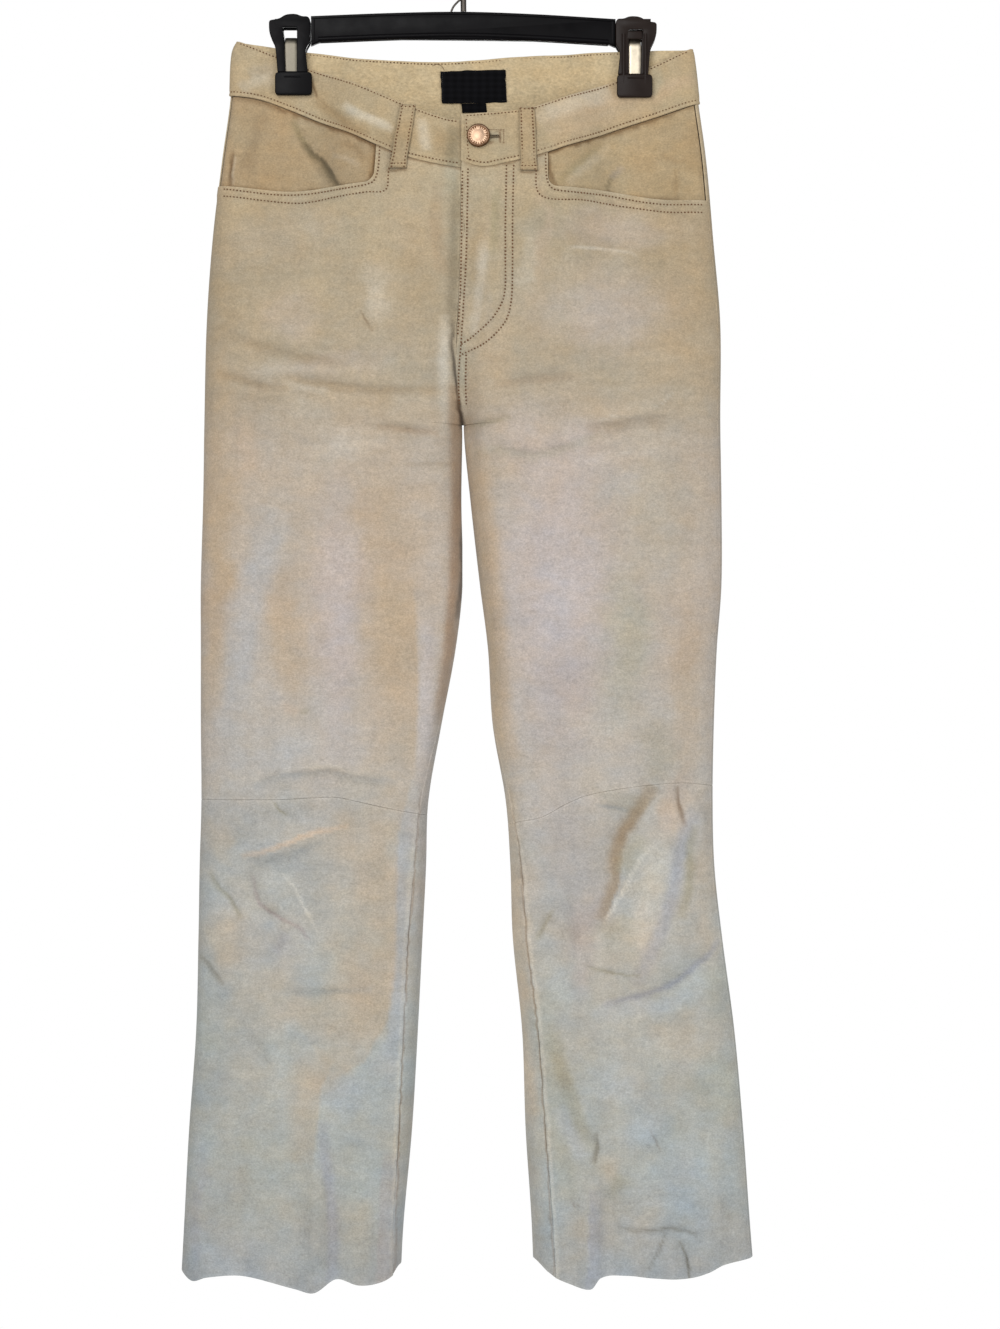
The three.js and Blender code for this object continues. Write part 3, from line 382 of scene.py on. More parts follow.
def lay_out(leg, face, levels, step, start=0.0, end=None, cut=None):
    """across and z of every row and column of a panel, and the row and column of its
    inner marks. levels are the edges that its rows keep to from top to bottom, each a
    function of x, and cut is a column that the rows share."""
    middle = np.float64(leg * 100.0)
    rows, row_marks = [], []
    for i, (upper, lower) in enumerate(zip(levels, levels[1:])):
        rows += [(i, *stop) for stop in stops(float(upper(middle) - lower(middle)), step)][(i > 0):]
        row_marks.append(len(rows) - 1)
    part, plus, share = (np.array(c, float)[:, None] for c in zip(*rows))
    part = part.astype(int)

    def solve(t):
        z = np.full(t.shape, float(levels[0](middle)))
        for _ in range(9):
            across = start + ((seam_across(leg, face, z) if end is None else end) - start) * t
            x = whereabouts(leg, face, across, z)[3]
            heights = np.array([level(x) for level in levels])
            high = np.take_along_axis(heights, np.broadcast_to(part, x.shape)[None], 0)[0]
            low = np.take_along_axis(heights, np.broadcast_to(part + 1, x.shape)[None], 0)[0]
            z = high - plus - share * (high - low)
        return across, z

    dense = np.linspace(0, 1, 321)
    across, z = solve(np.broadcast_to(dense, (len(rows), len(dense))))
    points = skin(leg, face, across, z)
    gaps = np.linalg.norm(np.diff(points, axis=1), axis=-1)
    arc = np.concatenate([np.zeros((len(rows), 1)), np.cumsum(gaps, 1)], 1)
    marks = [0.0, 1.0] if cut is None else [0.0, cut, 1.0]
    at = np.array([[np.interp(m, dense, row) for m in marks] for row in arc])
    columns, column_marks = [], []
    for i in range(len(marks) - 1):
        length = at[:, i + 1] - at[:, i]
        for plus_mm, share_of in stops(length.max(), step)[(i > 0):]:
            columns.append(at[:, i] + plus_mm + share_of * length)
        column_marks.append(len(columns) - 1)
    columns = np.array(columns).T
    t = np.array([np.interp(c, row, dense) for c, row in zip(columns, arc)])
    return *solve(t), row_marks, column_marks


def link(name, mesh):
    piece = bpy.data.objects.new(name, mesh)
    bpy.context.scene.collection.objects.link(piece)
    return piece


def cloth(name, points, normals, thickness, kept=None, rounding=0.6, colour=None, rim_tone=0.1):
    """A closed wall on a grid of points. kept says which of its cells are cloth. Its outer
    face rounds over at the rim, where rim_tone makes its dye lighter, or darker if it is
    negative. Returns the piece, its flat size and its area."""
    rows, columns = points.shape[:2]
    kept = np.ones((rows - 1, columns - 1), bool) if kept is None else kept
    padded = np.pad(kept, 1)
    whole = padded[1:, 1:] & padded[:-1, 1:] & padded[1:, :-1] & padded[:-1, :-1]
    away = np.where(whole, 1e3, 0.0)
    for _ in range(8):  # distance to the rim, carried inwards from line to line
        for axis in (0, 1):
            lines = np.moveaxis(away, axis, 0)
            step = np.linalg.norm(np.diff(np.moveaxis(points, axis, 0), axis=0), axis=-1)
            lines[1:] = np.minimum(lines[1:], lines[:-1] + step)
            lines[:-1] = np.minimum(lines[:-1], lines[1:] + step)
    t = np.clip(away / rounding, 0, 1)
    sink = (1 - np.sqrt(1 - (1 - t) ** 2)) * thickness * 0.42
    outside = points + normals * (thickness / 2 - sink)[..., None]
    inside = points - normals * (thickness / 2 - 0.6 * sink)[..., None]
    number = np.arange(rows * columns).reshape(rows, columns)
    quads = np.stack([number[:-1, :-1], number[1:, :-1], number[1:, 1:], number[:-1, 1:]], -1)[kept]
    a, b, d = (points.reshape(-1, 3)[quads[0][k]] for k in (0, 1, 3))
    if np.dot(np.cross(b - a, d - a), normals.reshape(-1, 3)[quads[0][0]]) < 0:
        quads = quads[:, ::-1]
    within = rows * columns
    edges = np.concatenate([quads[:, [k, (k + 1) % 4]] for k in range(4)])
    keys = edges[:, 0].astype(np.int64) * within + edges[:, 1]
    opposite = edges[:, 1].astype(np.int64) * within + edges[:, 0]
    rim = edges[~np.isin(keys, opposite)]
    walls = np.stack([rim[:, 1], rim[:, 0], rim[:, 0] + within, rim[:, 1] + within], -1)
    faces = np.concatenate([quads, quads[:, ::-1] + within, walls])
    used = np.unique(faces)
    place = np.zeros(2 * within, int)
    place[used] = np.arange(len(used))
    vertices = np.concatenate([outside.reshape(-1, 3), inside.reshape(-1, 3)])[used]
    mesh = bpy.data.meshes.new(name)
    mesh.from_pydata((vertices * MM).tolist(), [], place[faces].tolist())
    mesh.shade_smooth()
    mesh.set_sharp_from_angle(angle=math.radians(55))
    if colour is not None:
        layer = mesh.attributes.new("dye_and_painted_shade", "FLOAT_COLOR", "POINT")
        colour = colour * (1 + rim_tone * np.exp(-((away / 1.8) ** 2)))[..., None]
        both = np.concatenate([colour.reshape(-1, 3)] * 2)[used]
        layer.data.foreach_set("color", np.c_[both, np.ones(len(both))].astype(np.float32).ravel())
    p, q, r, s = (points.reshape(-1, 3)[quads[:, k]] for k in range(4))
    area = np.linalg.norm(np.cross(r - p, s - q), axis=-1).sum() / 2
    width = np.linalg.norm(np.diff(points, axis=1), axis=-1).sum(1).max()
    length = np.linalg.norm(np.diff(points, axis=0), axis=-1).sum(0).max()
    return link(name, mesh), (width * MM, length * MM), area * MM**2


def linear(code):
    """An sRGB hex colour as linear RGB."""
    parts = np.array([int(code[i:i + 2], 16) for i in (1, 3, 5)]) / 255
    return np.where(parts < 0.04045, parts / 12.92, ((parts + 0.055) / 1.055) ** 2.4)


def rgba(code):
    return (*linear(code), 1)


# The dye: sand at the hips, a greyed lilac on the thighs and a blue mist on the shins,
# with the marks of sun, wear and water on it, and painted shade and light besides. A stain
# is a soft patch. A stroke lies on the front, with half widths to the left and right as one
# walks along its points. Many strokes are painted shade in creases, folds, seams and gaps,
# or painted highlights on ridges and lips.
GROUND = [(-90, "#b3a184"), (-230, "#ac9d82"), (-330, "#aa9c84"), (-390, "#a99c87"), (-446, "#b0a393"),
          (-574, "#b2a79b"), (-710, "#b1aba3"), (-786, "#aca9a2"), (-914, "#aaaaa4"), (-1041, "#a7a9a4"),
          (-1160, "#9ea0a0")]
TONES = {
    "tan": "#b5a186", "sand": "#b8a283", "peach": "#c2a88e", "lilac": "#b8aeab", "mist": "#a8acb0",
    "slate": "#8e9394", "bone": "#cbc5b8", "olive": "#8c8466", "umber": "#6f573c", "russet": "#96734f",
    "mauve": "#a09391", "sage": "#a5a18e", "ink": "#2e241b", "soot": "#6a614c", "haze": "#9597a1",
    "sepia": "#8f7653", "cream": "#d0c2ac", "toast": "#b49a77",
}
STAINS = {FRONT: [
    # tone, strength, x, z, half width, half height, lean in degrees
    ("sepia", 0.16, -60, -190, 26, 18, 20), ("sage", 0.3, -128, -176, 22, 14, 20),
    ("sand", 0.4, -205, -200, 10, 60, 5), ("sepia", 0.1, 190, -185, 16, 34, 0),
    ("tan", 0.3, -40, -262, 26, 30, 20), ("tan", 0.22, -118, -252, 20, 16, 0),
    ("lilac", 0.1, -160, -270, 50, 26, 8), ("sepia", 0.16, -170, -275, 50, 60, 0),
    ("lilac", 0.2, -145, -335, 22, 22, 0), ("bone", 0.35, -68, -322, 14, 22, 10),
    ("sepia", 0.16, -208, -330, 16, 80, 0), ("bone", 0.2, 18, -300, 6, 44, 0),
    ("sepia", 0.3, 13, -290, 10, 46, 0), ("sepia", 0.34, 182, -290, 38, 70, 0),
    ("sepia", 0.22, 80, -262, 44, 40, 0), ("sepia", 0.2, -30, -300, 18, 60, 8),
    ("peach", 0.35, 66, -268, 7, 40, -4), ("bone", 0.22, 55, -290, 8, 28, 0),
    ("lilac", 0.4, 120, -330, 56, 34, 0), ("lilac", 0.3, 130, -262, 50, 22, 0),
    ("sand", 0.3, 190, -360, 30, 60, 0), ("sand", 0.25, 196, -270, 18, 50, 0),
    ("tan", 0.5, 22, -385, 18, 36, -25), ("lilac", 0.2, -110, -380, 60, 12, 8),
    ("sand", 0.25, -60, -405, 50, 12, 0), ("bone", 0.22, -96, -446, 30, 14, 18),
    ("sand", 0.3, -205, -470, 16, 120, 0), ("peach", 0.22, -178, -450, 10, 22, 0),
    ("lilac", 0.3, 80, -445, 60, 22, -8), ("lilac", 0.8, 78, -560, 46, 110, 0),
    ("sage", 0.22, 165, -500, 36, 60, 0), ("mist", 0.3, 132, -478, 14, 16, 0),
    ("lilac", 0.7, -104, -590, 20, 100, 0), ("toast", 0.45, -146, -604, 18, 56, 4),
    ("toast", 0.45, -210, -560, 14, 120, 0), ("toast", 0.4, -64, -560, 26, 110, 0),
    ("mist", 0.4, -140, -700, 24, 14, -10), ("olive", 0.3, -137, -670, 7, 4, 0),
    ("peach", 0.25, -150, -668, 8, 8, 0), ("mist", 0.25, -196, -690, 12, 24, 0),
    ("sage", 0.55, 138, -610, 22, 60, 0), ("mauve", 0.28, 84, -660, 30, 60, 0),
    ("olive", 0.32, 164, -700, 18, 26, 0), ("toast", 0.4, 192, -650, 16, 70, 0),
    ("russet", 0.14, 190, -722, 8, 18, 0), ("bone", 0.16, 120, -675, 40, 8, 6),
    ("slate", 0.32, -196, -756, 26, 20, 0), ("slate", 0.25, -150, -755, 34, 14, 0),
    ("sand", 0.3, -206, -775, 12, 20, 0), ("slate", 0.25, -212, -812, 12, 30, 0),
    ("slate", 0.22, -150, -798, 36, 14, -16), ("mist", 0.4, -160, -866, 26, 22, 20),
    ("bone", 0.2, -160, -822, 16, 14, 0), ("sand", 0.28, -204, -862, 18, 26, -20),
    ("slate", 0.3, -214, -904, 18, 16, 0), ("tan", 0.3, -118, -925, 60, 16, 0),
    ("slate", 0.28, -140, -946, 30, 5, 0), ("slate", 0.4, -212, -988, 20, 26, 0),
    ("sage", 0.3, -222, -940, 10, 26, 0), ("mist", 0.35, -100, -990, 24, 16, -20),
    ("slate", 0.2, -78, -1010, 30, 40, 0), ("sage", 0.22, -160, -1080, 40, 50, 0),
    ("mist", 0.35, -190, -1125, 26, 22, 0), ("haze", 0.3, -221, -1100, 5, 60, 0),
    ("sage", 0.25, -90, -1100, 14, 50, 0), ("slate", 0.2, -168, -1130, 12, 12, 0),
    ("mauve", 0.3, 92, -800, 30, 70, 8), ("mauve", 0.4, 102, -868, 12, 44, -10),
    ("bone", 0.3, 112, -872, 22, 12, 0), ("sage", 0.35, 136, -862, 12, 24, 0),
    ("bone", 0.6, 156, -835, 15, 50, -14), ("peach", 0.2, 153, -850, 12, 34, -14),
    ("peach", 0.4, 176, -752, 10, 24, -10), ("sand", 0.3, 205, -830, 12, 60, 0),
    ("sage", 0.4, 214, -900, 18, 22, 0), ("olive", 0.22, 136, -742, 26, 8, -8),
    ("mist", 0.4, 150, -918, 46, 8, 12), ("tan", 0.2, 190, -940, 40, 20, 0),
    ("mist", 0.35, 130, -980, 16, 18, 0), ("mist", 0.35, 155, -1012, 18, 26, 0),
    ("sage", 0.4, 215, -985, 20, 26, 0), ("mist", 0.3, 190, -1070, 24, 30, 0),
    ("slate", 0.25, 226, -1040, 12, 40, 0), ("olive", 0.36, 130, -1068, 15, 10, 0),
    ("tan", 0.2, 122, -1050, 12, 12, 0), ("sand", 0.28, 92, -1115, 16, 40, 0),
    ("slate", 0.3, 214, -1126, 12, 14, 0), ("mist", 0.4, 128, -1136, 16, 16, 0),
    ("tan", 0.3, 48, -900, 8, 150, 0), ("lilac", 0.3, -36, -780, 8, 60, 0),
], BACK: [
    ("tan", 0.24, -110, -300, 60, 70, 0), ("tan", 0.24, 110, -310, 60, 70, 0),
    ("lilac", 0.35, -140, -560, 30, 150, 0), ("sand", 0.24, 150, -560, 30, 150, 0),
    ("peach", 0.18, -90, -760, 60, 40, 0), ("olive", 0.17, 100, -770, 60, 40, 0),
    ("slate", 0.26, -150, -980, 50, 90, 0), ("mist", 0.32, 140, -1000, 50, 90, 0),
    # A painted shadow on the back between the legs, below the crotch.
    ("umber", 0.5, -4, -540, 10, 60, 0),
]}
STROKES = [
    # tone, strength, left and right half widths, points (x, z)
    # Painted shadows under the ends of the front belt loops.
    ("umber", 0.7, 1.4, 1.2, [(-65, -211.5), (-55, -212), (-46, -212)]),
    ("umber", 0.7, 1.4, 1.2, [(47, -213.2), (56, -213.6), (65, -213.2)]),
    # Painted light down the left leg's inner edge, where the gap between the legs shades it.
    ("cream", 0.75, 5, 5, [(4, -428), (10, -500), (17, -560), (24, -616), (29, -680), (42, -760)]),
    ("cream", 0.75, 8, 8, [(38, -735), (42, -860), (50, -940), (57, -1010)]),
    ("bone", 0.35, 8, 8, [(50, -940), (60, -1060), (64, -1170)]),
    ("sage", 0.4, 10, 10, [(66, -900), (72, -960), (84, -1040), (88, -1080)]),
    # Dark lines down the inseams, with painted highlights on the lips beside them.
    ("umber", 0.5, 0.9, 0.9, [(-36, -735), (-41, -800), (-46, -860), (-50, -940), (-54, -1024),
        (-59, -1165)]),
    ("bone", 0.4, 1.2, 1.2, [(-39, -745), (-44, -800), (-49, -860), (-53, -940), (-57, -1024),
        (-62, -1165)]),
    ("umber", 0.5, 0.9, 0.9, [(41, -735), (50, -800), (54, -860), (64, -940), (70, -1024), (79, -1165)]),
    ("bone", 0.45, 1.4, 1.4, [(43.5, -745), (52.5, -800), (57, -860), (67, -940), (73, -1024), (82, -1165)]),
    # Painted shade in the fly's valley, beside its puckers and under its lap, the crotch's painted shadow and
    # painted shade down the inner thighs, among patches of tone.
    ("soot", 0.42, 4, 6, [(-5, -213), (-6, -260), (-7, -310), (-9, -352)]),
    ("sage", 0.4, 5, 7, [(-8, -200), (-9, -215), (-10, -232)]),
    ("russet", 0.24, 7, 5, [(-22, -222), (-24, -262), (-18, -300)]),
    ("olive", 0.45, 7, 1.2, [(26.5, -226), (25, -250), (24, -268), (23, -284)]),
    ("bone", 0.35, 3.5, 5, [(18, -270), (17, -300), (12, -335), (10, -352)]),
    ("sage", 0.5, 4, 3.6, [(-1, -350), (-1, -380), (0, -412)]),
    ("ink", 0.75, 1.2, 1.8, [(-7, -340), (-10, -356), (-7.5, -372), (-6.2, -390), (-3.5, -408), (0, -428)]),
    ("ink", 0.9, 2.4, 2.8, [(-5, -404), (-2, -416), (0, -429)]),
    ("bone", 0.45, 4, 6, [(-14, -334), (-16, -372), (-15, -404), (-13, -436)]),
    ("russet", 0.55, 5, 5, [(-8, -392), (-7, -430), (-5, -490), (-8, -560), (-13, -620), (-22, -680)]),
    ("ink", 0.7, 2, 2.2, [(-1, -508), (-1, -545), (-3, -572), (-5, -590)]),
    # Painted shade in the creases across the thighs, and painted highlights on their ridges.
    ("sepia", 0.2, 4, 6, [(-209, -342), (-188, -354), (-168, -362), (-130, -371), (-95, -376)]),
    ("sepia", 0.3, 3, 4, [(-209, -382), (-188, -388), (-170, -394), (-146, -397)]),
    ("sepia", 0.28, 3, 5, [(-150, -385), (-133, -390), (-106, -394), (-70, -398), (-20, -397)]),
    ("bone", 0.22, 3, 3, [(-150, -391), (-132, -396), (-112, -400)]),
    ("russet", 0.26, 3, 3, [(-72, -428), (-44, -432), (-20, -434)]),
    ("sepia", 0.22, 2, 3, [(-48, -461), (-28, -459), (-4, -459)]),
    ("olive", 0.3, 2, 3, [(6, -426), (24, -424), (42, -420)]),
    ("umber", 0.18, 4, 6, [(104, -428), (126, -429), (142, -425), (172, -422)]),
    ("sage", 0.3, 3, 5, [(6, -449), (30, -447), (60, -453), (82, -447), (120, -434)]),
    ("russet", 0.18, 3, 4, [(26, -394), (60, -389), (100, -386)]),
    ("bone", 0.4, 1, 1.4, [(86, -278), (112, -278), (132, -280), (147, -283)]),
    ("bone", 0.3, 1, 1.2, [(112, -424), (126, -420), (142, -420)]),
    ("bone", 0.3, 1, 1.2, [(160, -413), (170, -407), (178, -399)]),
    ("bone", 0.25, 1, 1.2, [(128, -453), (142, -449)]),
    ("umber", 0.45, 0.9, 1.2, [(-86, -330), (-80, -341), (-75, -350)]),
    ("toast", 0.5, 10, 12, [(9, -440), (15, -485), (22, -530), (28, -600), (32, -660), (42, -720)]),
    ("mist", 0.42, 12, 14, [(-152, -498), (-170, -550), (-186, -610), (-192, -668)]),
    ("toast", 0.5, 3, 36, [(-44, -556), (-40, -620), (-40, -680), (-43, -726)]),
    ("lilac", 0.5, 8, 6, [(-30, -590), (-31, -640), (-32, -690), (-36, -730)]),
    # Painted shade in a crease above the right knee, with a painted highlight on its ridge.
    ("slate", 0.38, 1.2, 5, [(-177, -730), (-165, -724), (-148, -721), (-112, -718), (-90, -724),
        (-54, -727)]),
    ("bone", 0.3, 2, 1, [(-150, -718), (-112, -714.5), (-90, -720), (-60, -724)]),
    ("tan", 0.55, 2.4, 56, [(-45, -722), (-50, -745), (-56, -770), (-57, -830), (-58, -885), (-64, -925),
        (-84, -962), (-112, -978)]),
    ("tan", 0.4, 3, 22, [(-108, -958), (-122, -985), (-125, -1020), (-128, -1050)]),
    ("haze", 0.3, 6, 5, [(-50, -750), (-52, -820), (-53, -880), (-58, -930), (-62, -990)]),
    ("mist", 0.4, 12, 3, [(-57, -905), (-60, -940), (-78, -975)]),
    # Painted shade in the creases and folds of the knees and shins, and painted highlights on their ridges.
    ("peach", 0.6, 2, 2, [(-188, -790), (-170, -787), (-150, -780), (-130, -772), (-96, -764)]),
    ("slate", 0.4, 3, 4, [(-176, -797), (-150, -790), (-118, -777)]),
    ("mauve", 0.6, 1.4, 2, [(-176, -806), (-175, -820), (-171, -831), (-160, -838), (-136, -851),
        (-129, -861)]),
    ("bone", 0.5, 1, 1.2, [(-152, -804), (-142, -816), (-134, -831), (-122, -853)]),
    ("olive", 0.4, 1.4, 3, [(-213, -804), (-206, -817), (-196, -826), (-186, -843)]),
    ("soot", 0.35, 1.4, 3, [(-221, -873), (-212, -886), (-201, -899)]),
    ("haze", 0.35, 5, 5, [(-148, -855), (-158, -872)]),
    ("slate", 0.4, 1.5, 4, [(-152, -903), (-128, -904), (-100, -903), (-76, -902)]),
    ("olive", 0.45, 1, 1.4, [(-159, -744), (-154, -752), (-147, -755)]),
    ("haze", 0.55, 6, 4, [(-119, -1012), (-117, -1042), (-112, -1075), (-110, -1110), (-112, -1160)]),
    ("mauve", 0.35, 14, 1.6, [(-66, -1040), (-68, -1075), (-70, -1115), (-72, -1160)]),
    ("slate", 0.55, 1.5, 1.8, [(112, -747), (126, -749), (141, -751)]),
    ("sepia", 0.7, 5, 8, [(163, -731), (154, -744), (146, -757), (136, -770), (131, -786), (128, -806)]),
    ("sepia", 0.6, 2, 8, [(134, -790), (131, -812), (125, -828), (118, -846)]),
    ("sage", 0.5, 10, 8, [(150, -772), (141, -790), (134, -806)]),
    ("bone", 0.7, 1.2, 1.2, [(159, -781), (150, -793), (143, -803), (137, -816), (125, -836), (118, -849)]),
    ("umber", 0.6, 1.2, 2.6, [(181, -731), (183, -745), (188, -766)]),
    ("haze", 0.5, 6, 7, [(197, -750), (189, -770), (183, -790), (179, -818), (170, -848), (156, -880),
        (146, -902)]),
    ("olive", 0.45, 4, 4, [(197, -762), (191, -782), (192, -802), (190, -824), (184, -842)]),
    ("olive", 0.4, 2, 2.4, [(77, -836), (68, -850), (62, -862)]),
    ("olive", 0.4, 1.2, 2, [(104, -883), (122, -887), (136, -890), (152, -891)]),
    ("haze", 0.65, 2.4, 3, [(218, -861), (208, -874), (196, -884), (180, -897), (158, -906), (118, -916)]),
    ("olive", 0.42, 6, 8, [(76, -938), (82, -962), (90, -986), (97, -1010), (108, -1038)]),
    ("mist", 0.5, 6, 8, [(80, -1000), (90, -1022), (102, -1044)]),
    ("soot", 0.5, 1.6, 3, [(112, -1022), (114, -1036), (110, -1050)]),
    ("haze", 0.5, 9, 1.6, [(107, -1070), (108, -1100), (107, -1130), (104, -1160)]),
    ("umber", 0.3, 0.8, 0.8, [(157, -1020), (163, -1030), (167, -1039)]),
    ("umber", 0.35, 0.8, 0.8, [(91, -1078), (94, -1084), (99, -1084)]),
    ("soot", 0.38, 1.2, 1.8, [(130, -1102), (146, -1105), (158, -1105), (176, -1103), (195, -1107),
        (197, -1113)]),
    ("soot", 0.35, 1.2, 1.2, [(171, -1106), (166, -1120), (157, -1138)]),
    ("soot", 0.55, 1, 1.4, [(182, -1114), (189, -1128), (192, -1150)]),
]


def dye_and_painted_shade(face, x, z, strokes=()):
    """Linear colour of the suede at places on the front or the back, with any strokes
    that only this piece has, and with painted shade and light in its creases and gaps."""
    levels = np.array([z0 for z0, _ in GROUND], float)[::-1]
    tones = np.array([linear(code) for _, code in GROUND])[::-1]
    colour = np.stack([np.interp(z, levels, tones[:, k]) for k in range(3)], -1)
    fine_x, fine_z = (0.9 * mottle(x, z, 5, 5, seed) for seed in (45, 46))
    wx = x + 7 * mottle(x, z, 26, 30, 41) + 3 * mottle(x, z, 10, 9, 42) + 2 * fine_x
    wz = z + 9 * mottle(x, z, 30, 30, 43) + 3 * mottle(x, z, 10, 10, 44) + 2 * fine_z
    for side, (tone, strength, x0, z0, wide, tall, lean) in [(f, row) for f in STAINS for row in STAINS[f]]:
        turn = math.radians(lean)
        u = ((wx - x0) * math.cos(turn) + (wz - z0) * math.sin(turn)) / wide
        v = (-(wx - x0) * math.sin(turn) + (wz - z0) * math.cos(turn)) / tall
        share = strength * np.exp(-((u * u + v * v) ** 1.5)) * (face == side)
        colour += share[..., None] * (linear(TONES[tone]) - colour)
    for tone, strength, left, right, points in [*STROKES, *strokes]:
        share = strength * felt(x + fine_x, z + fine_z, left, right, points, 3, 0.3) * (face == FRONT)
        colour += share[..., None] * (linear(TONES[tone]) - colour)
    # Painted shade in the creases' troughs and painted light on their ridges, then random blotches of the
    # suede's own tone, stronger on the shins.
    crease_shade_and_blotches = 0.06 * np.clip(creased(face, x, z, CREASES), -2, 2)
    lower = 0.4 + 0.6 * smoothstep(-z, 680, 820)
    crease_shade_and_blotches += lower * (0.05 * mottle(x, z, 21, 18, 47) + 0.04 * mottle(x, z, 8, 7, 48))
    cool = lower * (0.045 * mottle(x, z, 34, 40, 49) + 0.025 * mottle(x, z, 13, 15, 50))
    return colour * (1 + crease_shade_and_blotches)[..., None] * (1 + cool[..., None] * np.array([-1, 0.2, 1.3]))


def add_node(material, kind, settings=None, **links):
    """Adds a node. settings holds its properties and its sockets' values, links what
    feeds each socket, and names are the sockets' own, with _ for a space."""
    node = material.node_tree.nodes.new("ShaderNode" + kind)
    for key, value in (settings or {}).items():
        if key in node.inputs:
            node.inputs[key].default_value = value
        else:
            setattr(node, key, value)
    for key, source in links.items():
        material.node_tree.links.new(source, node.inputs[key.replace("_", " ")])
    return node


def new_finish(name, **values):
    """A new material, its shader with these values, and its object coordinates."""
    material = bpy.data.materials.new(name)
    material.use_nodes = True
    shader = material.node_tree.nodes["Principled BSDF"]
    for key, value in values.items():
        shader.inputs[key.replace("_", " ")].default_value = value
    return material, shader, add_node(material, "TexCoord").outputs["Object"]


def noise_node(material, place, period, octaves, **settings):
    """Noise whose largest swells are a period in millimetres apart, from 0 to 1."""
    settings = {"Scale": 1000 / period, "Detail": octaves, **settings}
    return add_node(material, "TexNoise", settings, Vector=place).outputs["Fac"]


def spread(material, source, low, high):
    """A noise's usual range, opened out to run from low to high."""
    limits = {"From Min": 0.3, "From Max": 0.7, "To Min": low, "To Max": high}
    return add_node(material, "MapRange", limits, Value=source).outputs[0]


def bumped(material, height, strength, distance):
    """The normal over a relief this many millimetres deep."""
    relief = {"Strength": strength, "Distance": distance * MM}
    return add_node(material, "Bump", relief, Height=height).outputs[0]


def feed(material, shader, **sources):
    """Links sources to the shader's sockets, named as in add_node."""
    for key, source in sources.items():
        material.node_tree.links.new(source, shader.inputs[key.replace("_", " ")])


def suede(name, nap_mm=1.5, tint=None, depth=0.45):
    """Suede, the split side of a hide buffed to a nap: quite matt, with a faint sheen,
    cloudy where the nap lies both ways, warmer and cooler where it took the dye unevenly,
    and speckled with pores, drawn coarser than real ones so that they show."""
    material, shader, place = new_finish(name, Roughness=0.92, Specular_IOR_Level=0.15, Sheen_Weight=0.12,
                                         Sheen_Roughness=0.6)
    lies = [add_node(material, "Mapping", {"Scale": scale}, Vector=place).outputs[0]
            for scale in ((1, 1, 1.4), (1, 1, 0.18), (0.22, 0.22, 1))]
    even, brushed, wisped = lies
    if tint is None:
        base = add_node(material, "Attribute", {"attribute_name": "dye_and_painted_shade"}).outputs["Color"]
    else:
        base = add_node(material, "RGB").outputs[0]
        base.default_value = rgba(tint)
    layers = [
        # where it lies, period in mm, octaves, change in red, green and blue
        (even, 45, 5.0, (0.05, 0.05, 0.05)), (even, 24, 2.5, (0.03, 0.0, -0.045)),
        (brushed, 13, 4.0, (0.035, 0.035, 0.035)), (wisped, 6, 3.0, (0.035, 0.035, 0.04)),
        (even, 7, 3.0, (0.05, 0.05, 0.05)), (even, 3.2, 2.0, (0.06, 0.06, 0.06)),
        (even, nap_mm, 2.0, (0.15, 0.15, 0.15)),
    ]
    for lie, period, octaves, changes in layers:
        noise = noise_node(material, lie, period, octaves, Roughness=0.62)
        tones = [spread(material, noise, 1 - change, 1 + change) for change in changes]
        factor = add_node(material, "CombineXYZ", None, X=tones[0], Y=tones[1], Z=tones[2])
        mix = add_node(material, "VectorMath", {"operation": "MULTIPLY"})
        material.node_tree.links.new(base, mix.inputs[0])
        material.node_tree.links.new(factor.outputs[0], mix.inputs[1])
        base = mix.outputs[0]
    feed(material, shader, Base_Color=base, Normal=bumped(material, noise, depth, 0.5))
    return material


NAPPED_SUEDE = suede("napped suede")


def finish(piece, material, slot, *nodes):
    """Gives a piece its material, what it replaces and the body it rides on."""
    if not piece.data.materials:
        piece.data.materials.append(material)
    if nodes:
        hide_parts(*nodes)
    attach(piece, "root")


def at_height(z):
    return lambda x: np.full(np.shape(x), float(z))


def along(rows, drop=0.0):
    return lambda x: read(rows, "z", x) - drop


def edge(points):
    return table("x z", points)


BAND_BOTTOM = {
    RIGHT: edge([(-197, -146), (-171, -149.5), (-147, -158), (-125, -167), (-97, -178.5), (-74, -189.5),
                 (-45, -201), (-2, -209.5), (26, -210)]),
    LEFT: edge([(-4, -203), (16, -208.7), (35, -205.7), (63, -199), (98, -187), (129, -175.5), (161, -165),
                (199, -153)]),
}
POCKET = {
    RIGHT: edge([(-206, -223), (-174, -226), (-144, -228), (-108, -224.5), (-74, -221)]),
    LEFT: edge([(74, -225), (94, -226), (122, -228), (153, -233), (176, -235.5), (206, -235.5)]),
}
KNEE = {
    RIGHT: edge([(-222, -743), (-153, -742.5), (-109, -740.5), (-94, -743), (-50, -752.5), (-30, -756)]),
    LEFT: edge([(38, -764), (49, -761), (66, -757.5), (88, -746), (105, -739), (136, -733), (183, -728.5),
                (211, -731)]),
}
POCKET_SIDE = {RIGHT: -74, LEFT: 72}
POCKET_HEIGHT = -205
POCKET_RADIUS = 8
SIDES = {RIGHT: "right", LEFT: "left"}
SIDE_SEAM = {RIGHT: 0.0, LEFT: 0.075}  # how far the side seam is pulled round to the front
GRID = 2.3

